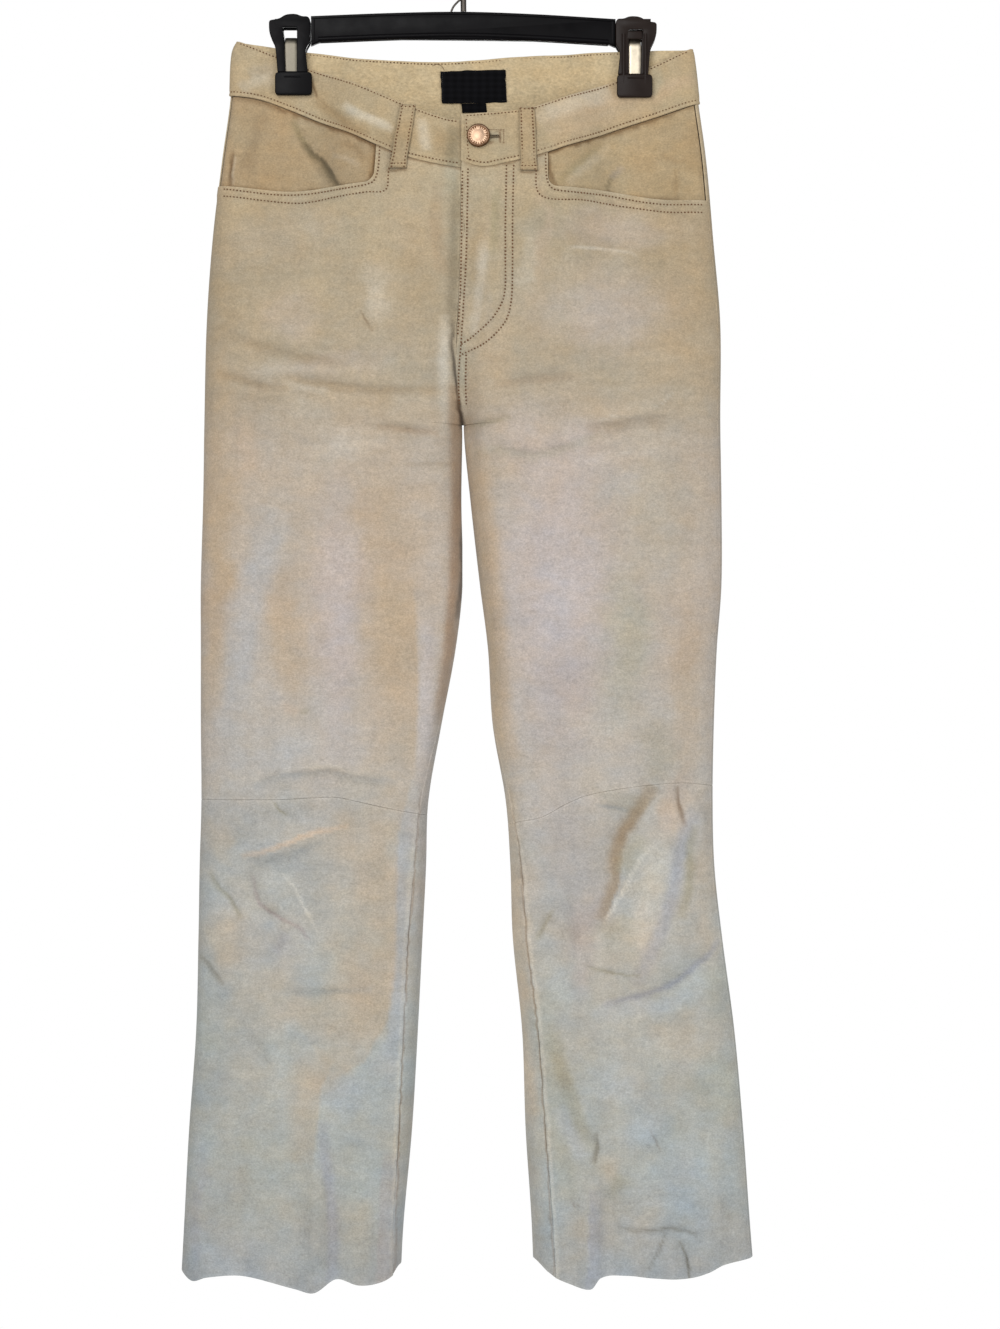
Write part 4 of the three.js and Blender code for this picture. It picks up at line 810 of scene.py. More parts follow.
# Rows of topstitching on the fronts, in brown thread: two round each pocket, one down
# the edge of the fly, two for its curve, and one beside the seam below it.
FLY_CURVE = [(43, -208), (42, -259), (42, -292), (41, -322), (36, -340), (20, -357), (0, -367)]
TOPSTITCH = {
    RIGHT: [
        [(-70, -192), (-71.5, -212), (-75, -221), (-83, -224.5), (-107, -227.5), (-143, -231), (-172, -229.5),
         (-202, -226)],
        [(-60, -196), (-62.5, -213), (-65, -228.5), (-81, -230.5), (-109, -234), (-137, -238), (-166, -236),
         (-202, -232)],
    ],
    LEFT: [
        [(70, -199), (71, -219), (75, -227), (83, -229.5), (122, -232), (152, -237), (175, -239.5),
         (202, -239.5)],
        [(62, -201), (65.5, -233), (106, -237), (143, -242), (175, -246), (202, -246)],
        [(4.5, -211), (3, -285), (0.5, -329), (-1.5, -360), (-3.5, -385), (-3, -408)],
        [(-0.2, -213), (-1.2, -285), (-2, -316), (-4, -350)],
        [(37, -208), (36, -259), (36, -285), (35, -318), (26, -336), (9, -352), (-0.5, -358.5)],
        FLY_CURVE,
        [(3, -368), (2.5, -390), (3, -408)],
    ],
}
FLY = edge([(-z, x) for x, z in FLY_CURVE])  # x of the fly's curve against how far down it is


def turn_corner(out, up):
    """Turns the square corner of a cut-out into an arc. out and up run from the corner
    along its two edges, and the cloth beside them follows less and less."""
    radius = POCKET_RADIUS
    beside = up > out
    run = np.clip(np.maximum(out, up), 0, radius)
    angle = (radius - run) / radius * math.pi / 4
    across, forward = radius * (1 - np.cos(angle)), radius * (1 - np.sin(angle)) - run
    depth = np.where(np.maximum(out, up) > 0, -np.minimum(out, up), np.hypot(out, up))
    fade = np.exp(-np.maximum(depth, 0) / 14)
    return out + fade * np.where(beside, across, forward), up + fade * np.where(beside, forward, across)


def across_at(leg, x, z):
    """Where across a leg's width an x lies, at this height."""
    outer = outer_edge(leg, z)
    s = (x - outer) / (inner_edge(leg, z) - outer)
    return np.arccos(1 - 2 * np.clip(s, 0, 1)) / np.pi


def on_cloth(face, x, z, lift=0.0):
    """Points of the cloth at an x and z, moved out by lift, with the normals."""
    x, z = np.broadcast_arrays(np.asarray(x, float), np.asarray(z, float))
    leg = np.where(x < 0, RIGHT, LEFT)
    return lifted(leg, face, across_at(leg, x, z), z, lift)


def smooth_run(points, step=1.0):
    """A smooth run of close points through a few, each a tuple of numbers."""
    points = np.array(points, float)
    lengths = np.concatenate([[0], np.cumsum(np.linalg.norm(np.diff(points, axis=0), axis=1))])
    names = "abc"[:points.shape[1]]
    rows = table(" ".join("s" + names), np.c_[lengths, points].tolist())
    at = np.linspace(0, lengths[-1], max(2, round(lengths[-1] / step)))
    return np.stack([read(rows, name, at) for name in names], -1)


def ramp(material, source, dark, light, low=0.0, high=1.0):
    """A source's range from low to high, as colours from a dark to a light linear one."""
    node = add_node(material, "ValToRGB", None, Fac=source)
    for element, position, colour in zip(node.color_ramp.elements, (low, high), (dark, light)):
        element.position, element.color = position, (*colour, 1)
    return node.outputs[0]


def thread_finish(name, colour):
    """Spun polyester sewing thread: round, a little shiny, with uneven dark in its twist."""
    material, shader, place = new_finish(name, Roughness=0.65)
    twist = noise_node(material, place, 4, 2.0)
    shade = ramp(material, twist, linear(colour) * 0.72, linear(colour) * 1.18, 0.3, 0.7)
    feed(material, shader, Base_Color=shade)
    return material


BROWN_THREAD = thread_finish("brown polyester thread", "#6a4426")
STITCH = {"Spacing": 2.9 * MM, "Length": 1.5 * MM, "Thickness": 1.6 * MM}


STITCH_LIFT = 0.4  # how far a front's stitches stand off the bottom of their groove
GROOVE = {"depth": 0.4, "half_width": 1.5}
POCKET_HEM = {"height": 0.55, "width": 8.4, "gone": 11}  # the turned-in edge of a pocket's mouth


def stitch_tree():
    """Geometry nodes that set stitches end to end along the edges of a mesh."""
    tree = bpy.data.node_groups.new("row of stitches", "GeometryNodeTree")
    face = tree.interface
    face.new_socket("Geometry", in_out="INPUT", socket_type="NodeSocketGeometry")
    for name in STITCH:
        face.new_socket(name, in_out="INPUT", socket_type="NodeSocketFloat")
    face.new_socket("Thread", in_out="INPUT", socket_type="NodeSocketMaterial")
    face.new_socket("Geometry", in_out="OUTPUT", socket_type="NodeSocketGeometry")
    node, join = tree.nodes.new, tree.links.new
    given, made = node("NodeGroupInput").outputs, node("NodeGroupOutput").inputs
    curve, points = node("GeometryNodeMeshToCurve"), node("GeometryNodeCurveToPoints")
    points.mode = "LENGTH"
    join(given["Geometry"], curve.inputs["Mesh"])
    join(curve.outputs["Curve"], points.inputs["Curve"])
    join(given["Spacing"], points.inputs["Length"])
    bead, half, size = node("GeometryNodeMeshUVSphere"), node("ShaderNodeMath"), node("ShaderNodeCombineXYZ")
    bead.inputs["Segments"].default_value, bead.inputs["Rings"].default_value = 6, 5
    bead.inputs["Radius"].default_value = 0.5
    half.operation = "MULTIPLY"
    half.inputs[1].default_value = 0.7  # thread is pressed a little flat by the presser foot
    join(given["Thickness"], half.inputs[0])
    join(given["Thickness"], size.inputs["X"])
    join(half.outputs[0], size.inputs["Y"])
    join(given["Length"], size.inputs["Z"])
    shape, place = node("GeometryNodeTransform"), node("GeometryNodeInstanceOnPoints")
    join(bead.outputs["Mesh"], shape.inputs["Geometry"])
    join(size.outputs[0], shape.inputs["Scale"])
    join(points.outputs["Points"], place.inputs["Points"])
    join(points.outputs["Rotation"], place.inputs["Rotation"])
    join(shape.outputs["Geometry"], place.inputs["Instance"])
    uneven = node("FunctionNodeRandomValue")
    uneven.data_type = "FLOAT_VECTOR"
    uneven.inputs[0].default_value = (0.8, 0.8, 0.8)
    uneven.inputs[1].default_value = (1.15, 1.15, 1.1)
    uneven.inputs["Seed"].default_value = 5
    join(uneven.outputs[0], place.inputs["Scale"])
    real, dressed = node("GeometryNodeRealizeInstances"), node("GeometryNodeSetMaterial")
    join(place.outputs["Instances"], real.inputs["Geometry"])
    join(real.outputs["Geometry"], dressed.inputs["Geometry"])
    join(given["Thread"], dressed.inputs["Material"])
    join(dressed.outputs["Geometry"], made["Geometry"])
    return tree


STITCH_TREE = stitch_tree()


def sew(name, runs, slot="suede", thread=BROWN_THREAD, sizes=STITCH):
    """Sews rows of stitches along runs of points, as one plain mesh."""
    points, edges = [], []
    for run in runs:
        edges += [(len(points) + i, len(points) + i + 1) for i in range(len(run) - 1)]
        points += (np.asarray(run) * MM).tolist()
    mesh = bpy.data.meshes.new(name)
    mesh.from_pydata(points, edges, [])
    piece = link(name, mesh)
    modifier = piece.modifiers.new("stitches", "NODES")
    modifier.node_group = STITCH_TREE
    for item in STITCH_TREE.interface.items_tree:
        if item.name in sizes:
            modifier[item.identifier] = sizes[item.name]
        elif item.name == "Thread":
            modifier[item.identifier] = thread
    evaluated = piece.evaluated_get(bpy.context.evaluated_depsgraph_get())
    sewn = bpy.data.meshes.new_from_object(evaluated)
    piece.modifiers.clear()
    piece.data = sewn
    sewn.shade_smooth()
    finish(piece, thread, slot)


def dip(x, z, line, depth, half_width):
    """A shallow valley along a row of points."""
    return depth * np.exp(-((reach(x, z, line)[0] / half_width) ** 2))


def lap_over(leg, x, z):
    """How far a front's cloth is raised near the middle, where the fly laps over."""
    if leg == RIGHT:
        return np.zeros(np.shape(x))
    edge_lift = 0.9 * (1 - smoothstep(np.abs(x - read(MIDDLE, "x", z)), 4, 12)) * smoothstep(z, -365, -345)
    return edge_lift + 0.5 * smoothstep(read(FLY, "z", -z) - x, -1.5, 1.5) * smoothstep(z, -368, -360)


def below(rows, drop, tone, strength, half_width):
    """A stroke of shade that follows an edge of another piece."""
    return tone, strength, half_width, half_width, [(x, z - drop) for x, z in zip(rows["x"], rows["z"])]


def stitch_shade_and_dirt(line):
    """A faint darker line along a row of stitches: painted shade of its groove and needle holes, and dirt
    caught in them.
    """
    return "umber", 0.14, 1.1, 1.1, line


for leg, side_name in SIDES.items():
    levels = [along(BAND_BOTTOM[leg]), along(POCKET[leg]), at_height(CROTCH), along(KNEE[leg])]
    start, finish_at = SIDE_SEAM[leg], float(seam_across(leg, FRONT, np.float64(POCKET_HEIGHT)))
    cut = (float(across_at(leg, POCKET_SIDE[leg], POCKET_HEIGHT)) - start) / (finish_at - start)
    across, z, rows, columns = lay_out(leg, FRONT, levels, GRID, start=start, cut=cut)
    x = whereabouts(leg, FRONT, across, z)[3]
    corner = (rows[0], columns[0])
    out, up = turn_corner((x - x[corner]) * leg, z - read(POCKET[leg], "z", x))
    near = (np.abs(x - x[corner]) < 60) & (z > z[corner] - 60)
    x = np.where(near, x[corner] + out * leg, x)
    z = np.where(near, read(POCKET[leg], "z", x) + up, z)
    across = np.where(near, across_at(leg, x, z), across)
    kept = np.ones((z.shape[0] - 1, z.shape[1] - 1), bool)
    kept[:rows[0], :columns[0]] = False
    rim = [(x[i, columns[0]], z[i, columns[0]]) for i in range(0, rows[0] + 1, 3)]
    rim += [(x[rows[0], j], z[rows[0], j]) for j in range(columns[0], -1, -3)]
    from_rim = np.abs(reach(x, z, rim)[0])
    lap = POCKET_HEM["height"] * (1 - smoothstep(from_rim, POCKET_HEM["width"], POCKET_HEM["gone"]))
    for line in TOPSTITCH[leg]:
        lap -= dip(x, z, line, GROOVE["depth"], GROOVE["half_width"])
    lap += lap_over(leg, x, z)
    points, normals = lifted(leg, FRONT, across, z, lap)
    # Painted shadow under the band's lower edge, and painted shade with dirt along the stitched rows.
    colour = dye_and_painted_shade(np.full(x.shape, FRONT), x, z, [
        below(BAND_BOTTOM[leg], 0.6, "umber", 0.75, 1.6), *map(stitch_shade_and_dirt, TOPSTITCH[leg])])
    piece, flat, area = cloth(f"{side_name}_front_thigh", points, normals, SUEDE, kept, colour=colour)
    finish(piece, NAPPED_SUEDE, "suede", f"{side_name}_front_upper")
    surface = BVHTree.FromObject(piece, bpy.context.evaluated_depsgraph_get())
    runs = []
    for line in TOPSTITCH[leg]:
        met = [surface.ray_cast((x * MM, -1, z * MM), (0, 1, 0))[0] for x, z in smooth_run(line)]
        runs.append([(p.x / MM, p.y / MM - STITCH_LIFT, p.z / MM) for p in met if p])
    sew(f"{side_name}_front_topstitching", runs)

# ---- Hip pieces ----------------------------------------------------------------------
# What shows in each pocket's mouth: a piece of the same suede sewn to the waistband and
# the side seam, lying under the front. The right one has creased as it was folded away.
UNDER = -1.7
POCKET_UNDERLAP = 14
HIP_CREASES = {
    RIGHT: [(-3.0, 4, [(-136, -180), (-128, -192), (-120, -206), (-107, -227)]),
            (1.6, 5, [(-143, -186), (-135, -200), (-124, -216)]),
            (-1.5, 3, [(-196, -188), (-199, -222)]),
            (0.8, 6, [(-176, -170), (-184, -195), (-186, -216)]),
            (-0.8, 4, [(-98, -190), (-84, -202), (-80, -214)]),
            (-0.7, 3, [(-165, -205), (-150, -212), (-138, -214)])],
    LEFT: [(-1.5, 3, [(118, -228), (125, -214), (136, -206)]),
           (0.9, 5, [(110, -216), (118, -204), (132, -198)]),
           (-0.8, 5, [(140, -196), (158, -201), (176, -197)]),
           (-0.7, 4, [(86, -215), (94, -205), (108, -202)])],
}
HIP_TINT = {RIGHT: "#f3eadf", LEFT: "#faf3e7"}
HIP_STROKES = {
    # as STROKES, for these pieces alone: mostly painted shade in the folds, in the pockets' mouths and beside
    # the side seams, with painted highlights beside them
    RIGHT: [
        ("olive", 0.6, 2.5, 3, [(-146, -165), (-138, -179), (-132, -190), (-126, -200)]),
        ("soot", 0.95, 1, 5, [(-134, -184), (-129, -191), (-120, -199.5), (-112, -212), (-101, -230)]),
        ("umber", 0.18, 6, 5, [(-170, -158), (-176, -180), (-182, -198), (-187, -218)]),
        ("umber", 0.8, 1.5, 1.6, [(-194.5, -192), (-197, -207), (-199, -228)]),
        ("bone", 0.4, 1.4, 1.4, [(-192, -196), (-194.5, -208), (-196, -224)]),
        ("sepia", 0.5, 10, 5, [(-72, -184), (-74, -200), (-75, -222)]),
        ("umber", 0.85, 3, 1.4, [(-73, -188), (-74.5, -210), (-80, -222)]),
        ("sepia", 0.35, 3, 4, [(-104, -186), (-90, -192), (-82, -204)]),
        ("bone", 0.3, 2, 3, [(-112, -196), (-98, -200), (-86, -208)]),
    ],
    LEFT: [
        ("olive", 0.35, 3, 4, [(78, -224), (92, -211), (104, -200), (118, -187)]),
        ("bone", 0.25, 3, 5, [(88, -222), (100, -210), (112, -198), (124, -188)]),
        ("soot", 0.6, 1, 1.8, [(121, -230), (124, -220), (128, -212)]),
        ("haze", 0.3, 3, 3, [(126, -216), (130, -211), (136, -206)]),
        ("sepia", 0.2, 8, 10, [(196, -162), (198, -190), (200, -216)]),
        ("sepia", 0.35, 2, 3, [(180, -208), (181, -222), (180, -234)]),
        ("sepia", 0.3, 2, 3, [(168, -196), (182, -202), (200, -203)]),
        ("umber", 0.75, 2, 4, [(72, -194), (73, -212), (79, -228)]),
        ("umber", 0.25, 0.8, 0.9, [(198, -158), (202, -196), (203, -234)]),
    ],
}
for leg, side_name in SIDES.items():
    levels = [along(BAND_BOTTOM[leg]), along(POCKET[leg], POCKET_UNDERLAP)]
    across, z, *_ = lay_out(leg, FRONT, levels, GRID, start=SIDE_SEAM[leg], end=0.64)
    x = whereabouts(leg, FRONT, across, z)[3]
    fall = np.full(x.shape, float(UNDER))
    in_mouth = smoothstep(z, read(POCKET[leg], "z", x) - 2, read(POCKET[leg], "z", x) + 8)
    for height, half_width, line in HIP_CREASES[leg]:
        fall += dip(x, z, line, height, half_width) * np.where(height > 0, in_mouth, 1)
    points, normals = lifted(leg, FRONT, across, z, fall)
    shade = [below(BAND_BOTTOM[leg], 1.2, "umber", 0.8, 1.7), below(POCKET[leg], 0.5, "umber", 0.6, 1.6)]
    colour = dye_and_painted_shade(np.full(x.shape, FRONT), x, z, HIP_STROKES[leg] + shade) * linear(HIP_TINT[leg])
    piece, flat, area = cloth(f"{side_name}_hip_suede", points, normals, SUEDE, colour=colour)
    finish(piece, NAPPED_SUEDE, "suede", f"{side_name}_hip_piece")

# ---- Shin fronts ---------------------------------------------------------------------
# The lower part of each front, joined at the knee by a plain seam whose edges round
# down into it. The hem is left as it was cut.
HEM = {
    RIGHT: edge([(-239, -1142), (-229, -1149.5), (-217, -1146), (-192, -1143), (-175, -1145), (-141, -1154),
                 (-125, -1157), (-106, -1146), (-88, -1151), (-71, -1150), (-60, -1145), (-54, -1137)]),
    LEFT: edge([(61, -1132), (73, -1142), (88, -1149), (108, -1154), (116, -1145), (139, -1143), (159, -1145),
                (190, -1146), (208, -1141), (221, -1135), (247, -1131)]),
}


def panel(name, node, leg, face, levels, step, start):
    """A plain panel of suede between levels, hung from another piece."""
    across, z, *_ = lay_out(leg, face, levels, step, start=start)
    turned = whereabouts(leg, face, across, z)[1]
    points, normals = lifted(leg, face, across, z, 0.0)
    piece, flat, area = cloth(name, points, normals, SUEDE, colour=dye_and_painted_shade(turned, points[..., 0], z))
    finish(piece, NAPPED_SUEDE, "suede", node)


for leg, side_name in SIDES.items():
    panel(f"{side_name}_front_shin", f"{side_name}_front_lower", leg, FRONT,
          [along(KNEE[leg]), along(HEM[leg])], GRID, SIDE_SEAM[leg])

# ---- Backs ---------------------------------------------------------------------------
# Two thighs and two shins again, plain, whose inseam edges come round to the front.
BACK_BAND_TOP = edge([(-191, -99.5), (-132, -108.5), (-54, -113.3), (-20, -114.3), (14, -112.8), (43, -110.3),
                      (99, -108), (128, -108), (193, -106)])
BAND = {"thickness": 2.6, "lift": 0.8, "height": 42}
BACK_KNEE = edge([(-222, -743), (-120, -748), (-30, -756), (38, -764), (120, -742), (211, -731)])
BACK_HEM = edge([(-239, -1142), (-145, -1147), (-62, -1146), (-54, -1137), (0, -1134), (61, -1132),
                 (73, -1141), (82, -1146), (150, -1145), (247, -1131)])
BACK_GRID = 1.35 * GRID
for leg, side_name in SIDES.items():
    back = f"{side_name}_back"
    panel(f"{back}_thigh", f"{back}_upper", leg, BACK,
          [along(BACK_BAND_TOP, BAND["height"]), at_height(CROTCH), along(BACK_KNEE)], BACK_GRID,
          -SIDE_SEAM[leg])
    panel(f"{back}_shin", f"{back}_lower", leg, BACK, [along(BACK_KNEE), along(BACK_HEM)], BACK_GRID,
          -SIDE_SEAM[leg])

# ---- Waistband -----------------------------------------------------------------------
# A curved band of doubled suede, 42 mm deep, in four pieces with a stitched row along
# each edge. The left front ends in a tab with a keyhole, over the end of the right.
BAND_TOP = {
    RIGHT: edge([(-191, -99.5), (-161, -110.5), (-132, -122), (-102, -132.5), (-69, -146.5), (-53, -153.5),
                 (-20, -165.5), (-6, -168.5), (26, -169)]),
    LEFT: edge([(-4, -164.3), (46, -160.3), (61, -157.3), (129, -133.5), (163, -119.5), (193, -106)]),
}
BAND_FACE = BAND["lift"] + BAND["thickness"] / 2
ROW_INSET = {"top": 1.8, "bottom": 3.5}  # the stitched rows' distance from the edges
BAND_GRID = 0.85 * GRID
BUTTON = {"x": 13.6, "z": -183}
KEYHOLE = {"eye": 3.4, "slot": 0.9, "end": 30.5}
BAND_STROKES = [
    # as STROKES, for the band alone: painted shade in a crease by the right clip and along a fold, with a
    # painted highlight on the fold's ridge, patches of tone, the buttonhole's welts, dark lines along its
    # stitches and painted shade in its slot
    ("umber", 0.8, 1.4, 1.4, [(-127.5, -133), (-125.5, -140), (-123, -148)]),
    ("sepia", 0.55, 4, 6, [(-124, -148), (-110, -160), (-92, -174), (-78, -182)]),
    ("bone", 0.6, 3, 4, [(-100, -154), (-84, -166), (-70, -171), (-58, -178)]),
    ("slate", 0.3, 6, 5, [(-182, -130), (-168, -125), (-156, -122)]),
    ("bone", 0.4, 5, 6, [(-190, -140), (-172, -132), (-160, -130)]),
    ("soot", 0.5, 6, 6, [(-6, -174), (-9, -190), (-10, -210)]),
    ("bone", 0.5, 5, 5, [(-34, -168), (-33, -180), (-30, -196)]),
    ("sepia", 0.3, 5, 5, [(-22, -172), (-18, -186), (-20, -200)]),
    ("peach", 0.4, 16, 16, [(70, -178), (110, -160), (160, -140)]),
    ("bone", 0.5, 8, 8, [(62, -168), (90, -156), (126, -142)]),
    ("sage", 0.15, 4, 5, [(70, -178), (100, -166), (136, -158), (160, -152)]),
    ("peach", 0.4, 6, 6, [(160, -150), (178, -138), (196, -132)]),
    ("sage", 0.5, 5, 5, [(162, -120), (166, -134), (160, -146)]),
    ("sage", 0.45, 2, 2, [(20, -180.6), (26, -180.8), (31, -180.6)]),
    ("sage", 0.45, 2, 2, [(20, -186), (26, -186.2), (31, -186)]),
    ("umber", 0.7, 0.7, 0.7, [(19, -177.9), (26, -178.2), (35.5, -178.2)]),
    ("umber", 0.7, 0.7, 0.7, [(19, -189), (27, -188.8), (35.5, -188.6)]),
    ("umber", 0.65, 0.7, 0.7, [(31, -177.6), (31.2, -183), (31, -189)]),
    ("ink", 0.6, 1.6, 1.6, [(17, -183.2), (23, -183.3), (30.5, -183.3)]),
]


def band_piece(name, node, leg, face, levels, lift, rests_on, **ends):
    """One piece of the band, crowned a little between its stitched edges."""
    across, z, *_ = lay_out(leg, face, levels, BAND_GRID, **ends)
    side, turned, _, x, _ = whereabouts(leg, face, across, z)
    top, bottom = levels[0](x), levels[-1](x)
    rise = 0.35 * np.sin(np.pi * np.clip((top - z) / (top - bottom), 0, 1))
    rise *= 1 + 0.8 * mottle(x, z, 17, 60, 51)
    for edge_away, inset in ((top - z, ROW_INSET["top"]), (z - bottom, ROW_INSET["bottom"])):
        rise -= 0.4 * np.exp(-(((edge_away - inset) / 1.3) ** 2))
    points, normals = lifted(leg, face, across, z, lift(across) + rise)
    # Painted shade along the band's stitched rows.
    rows = [below({"x": x[0], "z": edge_z[0]}, drop, "umber", 0.12, 1.1) for edge_z, drop in
            ((top, ROW_INSET["top"]), (bottom, -ROW_INSET["bottom"]))]
    colour = dye_and_painted_shade(turned, x, z, BAND_STROKES + rows) * linear("#fcf9f2")
    piece, flat, area = cloth(name, points, normals, BAND["thickness"], colour=colour, rounding=1.2)
    finish(piece, NAPPED_SUEDE, "suede", node)
    return piece


def band_row(face, rows, from_x, to_x, inset, lift=BAND_FACE):
    """A stitched row beside an edge of the band."""
    x = np.arange(from_x, to_x, 1.0)
    return on_cloth(face, x, read(rows, "z", x) + inset, lift - 0.05)[0]


UNDERLAP_DROP = BAND["thickness"] + 0.3
band_piece("waistband_front_right", "waistband_front_right", RIGHT, FRONT,
           [along(BAND_TOP[RIGHT]), along(BAND_BOTTOM[RIGHT])],
           lambda across: BAND["lift"] - UNDERLAP_DROP * smoothstep(across, 0.9, 0.939),
           "clip_right_front_jaw", end=1.21)
tab = band_piece("waistband_front_left", "waistband_front_left", LEFT, FRONT,
                 [along(BAND_TOP[LEFT]), along(BAND_BOTTOM[LEFT])],
                 lambda across: BAND["lift"], "clip_left_front_jaw", end=1.06)
back_levels = [along(BACK_BAND_TOP), along(BACK_BAND_TOP, BAND["height"])]
for leg, side_name in SIDES.items():
    band_piece(f"waistband_back_{side_name}", f"waistband_back_{side_name}", leg, BACK, back_levels,
               lambda across: BAND["lift"], f"clip_{side_name}_back_jaw")


def cut_keyhole(tab):
    """Cuts the keyhole right through the tab, and paints shade on the walls of the cut and the cloth at its
    edge.
    """
    eye, slot, reach_x = KEYHOLE["eye"], KEYHOLE["slot"], KEYHOLE["end"] - BUTTON["x"]
    turn = math.asin(slot / eye)
    arc = [(eye * math.cos(a), eye * math.sin(a)) for a in np.linspace(turn, 2 * math.pi - turn, 25)]
    arc += [(reach_x, -slot), (reach_x, slot)]
    count = len(arc)
    corners = [((BUTTON["x"] + x) * MM, y * MM, (BUTTON["z"] + z) * MM) for y in (-40, -5) for x, z in arc]
    sides = [[i, i + count, (i + 1) % count + count, (i + 1) % count] for i in range(count)]
    mesh = bpy.data.meshes.new("punch")
    mesh.from_pydata(corners, [], [list(range(count)), list(range(2 * count - 1, count - 1, -1)), *sides])
    # Painted shade for the walls of the keyhole, so that the hole reads dark.
    hole_shade = mesh.attributes.new("dye_and_painted_shade", "FLOAT_COLOR", "POINT")
    hole_shade.data.foreach_set("color", np.tile(rgba("#4a3826"), len(corners)).astype(np.float32))
    punch = link("punch", mesh)
    hole = tab.modifiers.new("keyhole", "BOOLEAN")
    hole.operation, hole.object, hole.solver = "DIFFERENCE", punch, "EXACT"
    tab.data = bpy.data.meshes.new_from_object(tab.evaluated_get(bpy.context.evaluated_depsgraph_get()))
    tab.modifiers.clear()
    bpy.data.objects.remove(punch)
    tab.data.polygons.foreach_set("material_index", [0] * len(tab.data.polygons))
    while len(tab.data.materials) > 1:
        tab.data.materials.pop()
    spots = np.empty(len(tab.data.vertices) * 3, np.float32)
    tab.data.vertices.foreach_get("co", spots)
    spots = spots.reshape(-1, 3) / MM
    tones = np.empty(len(spots) * 4, np.float32)
    tab.data.attributes["dye_and_painted_shade"].data.foreach_get("color", tones)
    tones = tones.reshape(-1, 4)
    # Painted shade on the cloth at the keyhole's edge.
    dx, dz, near = spots[:, 0] - BUTTON["x"], np.abs(spots[:, 2] - BUTTON["z"]), 0.1
    in_slot = (dx > 0) & (dx < reach_x + near) & (dz < slot + near)
    tones[(np.hypot(dx, dz) < eye + near) | in_slot] = rgba("#3a2b1c")
    tab.data.attributes["dye_and_painted_shade"].data.foreach_set("color", tones.ravel())


cut_keyhole(tab)
sew("waistband_front_stitching", [
    band_row(FRONT, BAND_TOP[RIGHT], -188, -5, -ROW_INSET["top"]),
    band_row(FRONT, BAND_BOTTOM[RIGHT], -195, -4, ROW_INSET["bottom"]),
    band_row(FRONT, BAND_TOP[LEFT], 4, 190, -ROW_INSET["top"]),
    band_row(FRONT, BAND_BOTTOM[LEFT], 4, 197, ROW_INSET["bottom"]),
    on_cloth(FRONT, *smooth_run([(3, -169), (4, -186), (5.5, -203)]).T, BAND_FACE)[0],
])
sew("waistband_back_stitching", [
    band_row(BACK, BACK_BAND_TOP, -189, 190, -ROW_INSET["top"]),
    band_row(BACK, BACK_BAND_TOP, -195, 196, ROW_INSET["bottom"] - BAND["height"]),
])
KEYHOLE_ROWS = [
    [(22.5, -177.5), (34.6, -177.9)], [(34.6, -177.9), (34.8, -188.8)], [(34.8, -188.8), (22.5, -190)],
    [(31.6, -178.6), (31.7, -188.2)],
]
sew("keyhole_stitching",
    [on_cloth(FRONT, *smooth_run(row, 0.5).T, BAND_FACE + 0.25)[0] for row in KEYHOLE_ROWS],
    sizes={"Spacing": 1.5 * MM, "Length": 1.5 * MM, "Thickness": 0.5 * MM})

# ---- Waistband facing ----------------------------------------------------------------
# The rough side of a second layer, inside the back of the waistband. It shows above the
# front, and the label is sewn to it.
ROUGH_SUEDE = suede("rough side of suede", nap_mm=2.6, tint="#c3af8b", depth=1.2)
FACING = {"thickness": 1.1, "height": 54}
FACING["lift"] = BAND["lift"] - BAND["thickness"] / 2 - 0.3 - FACING["thickness"] / 2
facing_levels = [back_levels[0], along(BACK_BAND_TOP, FACING["height"])]
across, z, *_ = lay_out(RIGHT, BACK, facing_levels, BAND_GRID, start=0.05, end=1.95)
x = whereabouts(RIGHT, BACK, across, z)[3]
swell = 0.25 * mottle(x, z, 22, 15, 61) + 0.1 * mottle(x, z, 6, 5, 62)
points, normals = lifted(RIGHT, BACK, across, z, FACING["lift"] + np.minimum(swell, 0.2))
facing, flat, area = cloth("waistband_facing", points, normals, FACING["thickness"])
finish(facing, ROUGH_SUEDE, "suede_inside", "waistband_back_facing")
facing_face = FACING["lift"] - FACING["thickness"] / 2
sew("facing_stitching", [band_row(BACK, BACK_BAND_TOP, -150, 150, -ROW_INSET["top"], facing_face + 0.35),
                         band_row(BACK, BACK_BAND_TOP, -150, 150, 3 - FACING["height"], facing_face + 0.35)])

# ---- Belt loops ----------------------------------------------------------------------
# Straps of folded suede 14 mm wide, stitched down both sides, with their ends turned
# under and sewn through the band's top edge and through the panel below it.
LOOP = {"width": 14, "length": 54, "thickness": 2.2, "row": 4.9, "bar": 5.5, "bars": (0.035, 0.93)}
LOOPS = {
    "front_right": (FRONT, -46, -156.5, -9, 44), "front_left": (FRONT, 54, -158.5, 2, 43),
    "back_right": (BACK, -96, -114, 0, 44), "back_centre": (BACK, 0, -117, 0, 44),
    "back_left": (BACK, 96, -112, 0, 44),
}


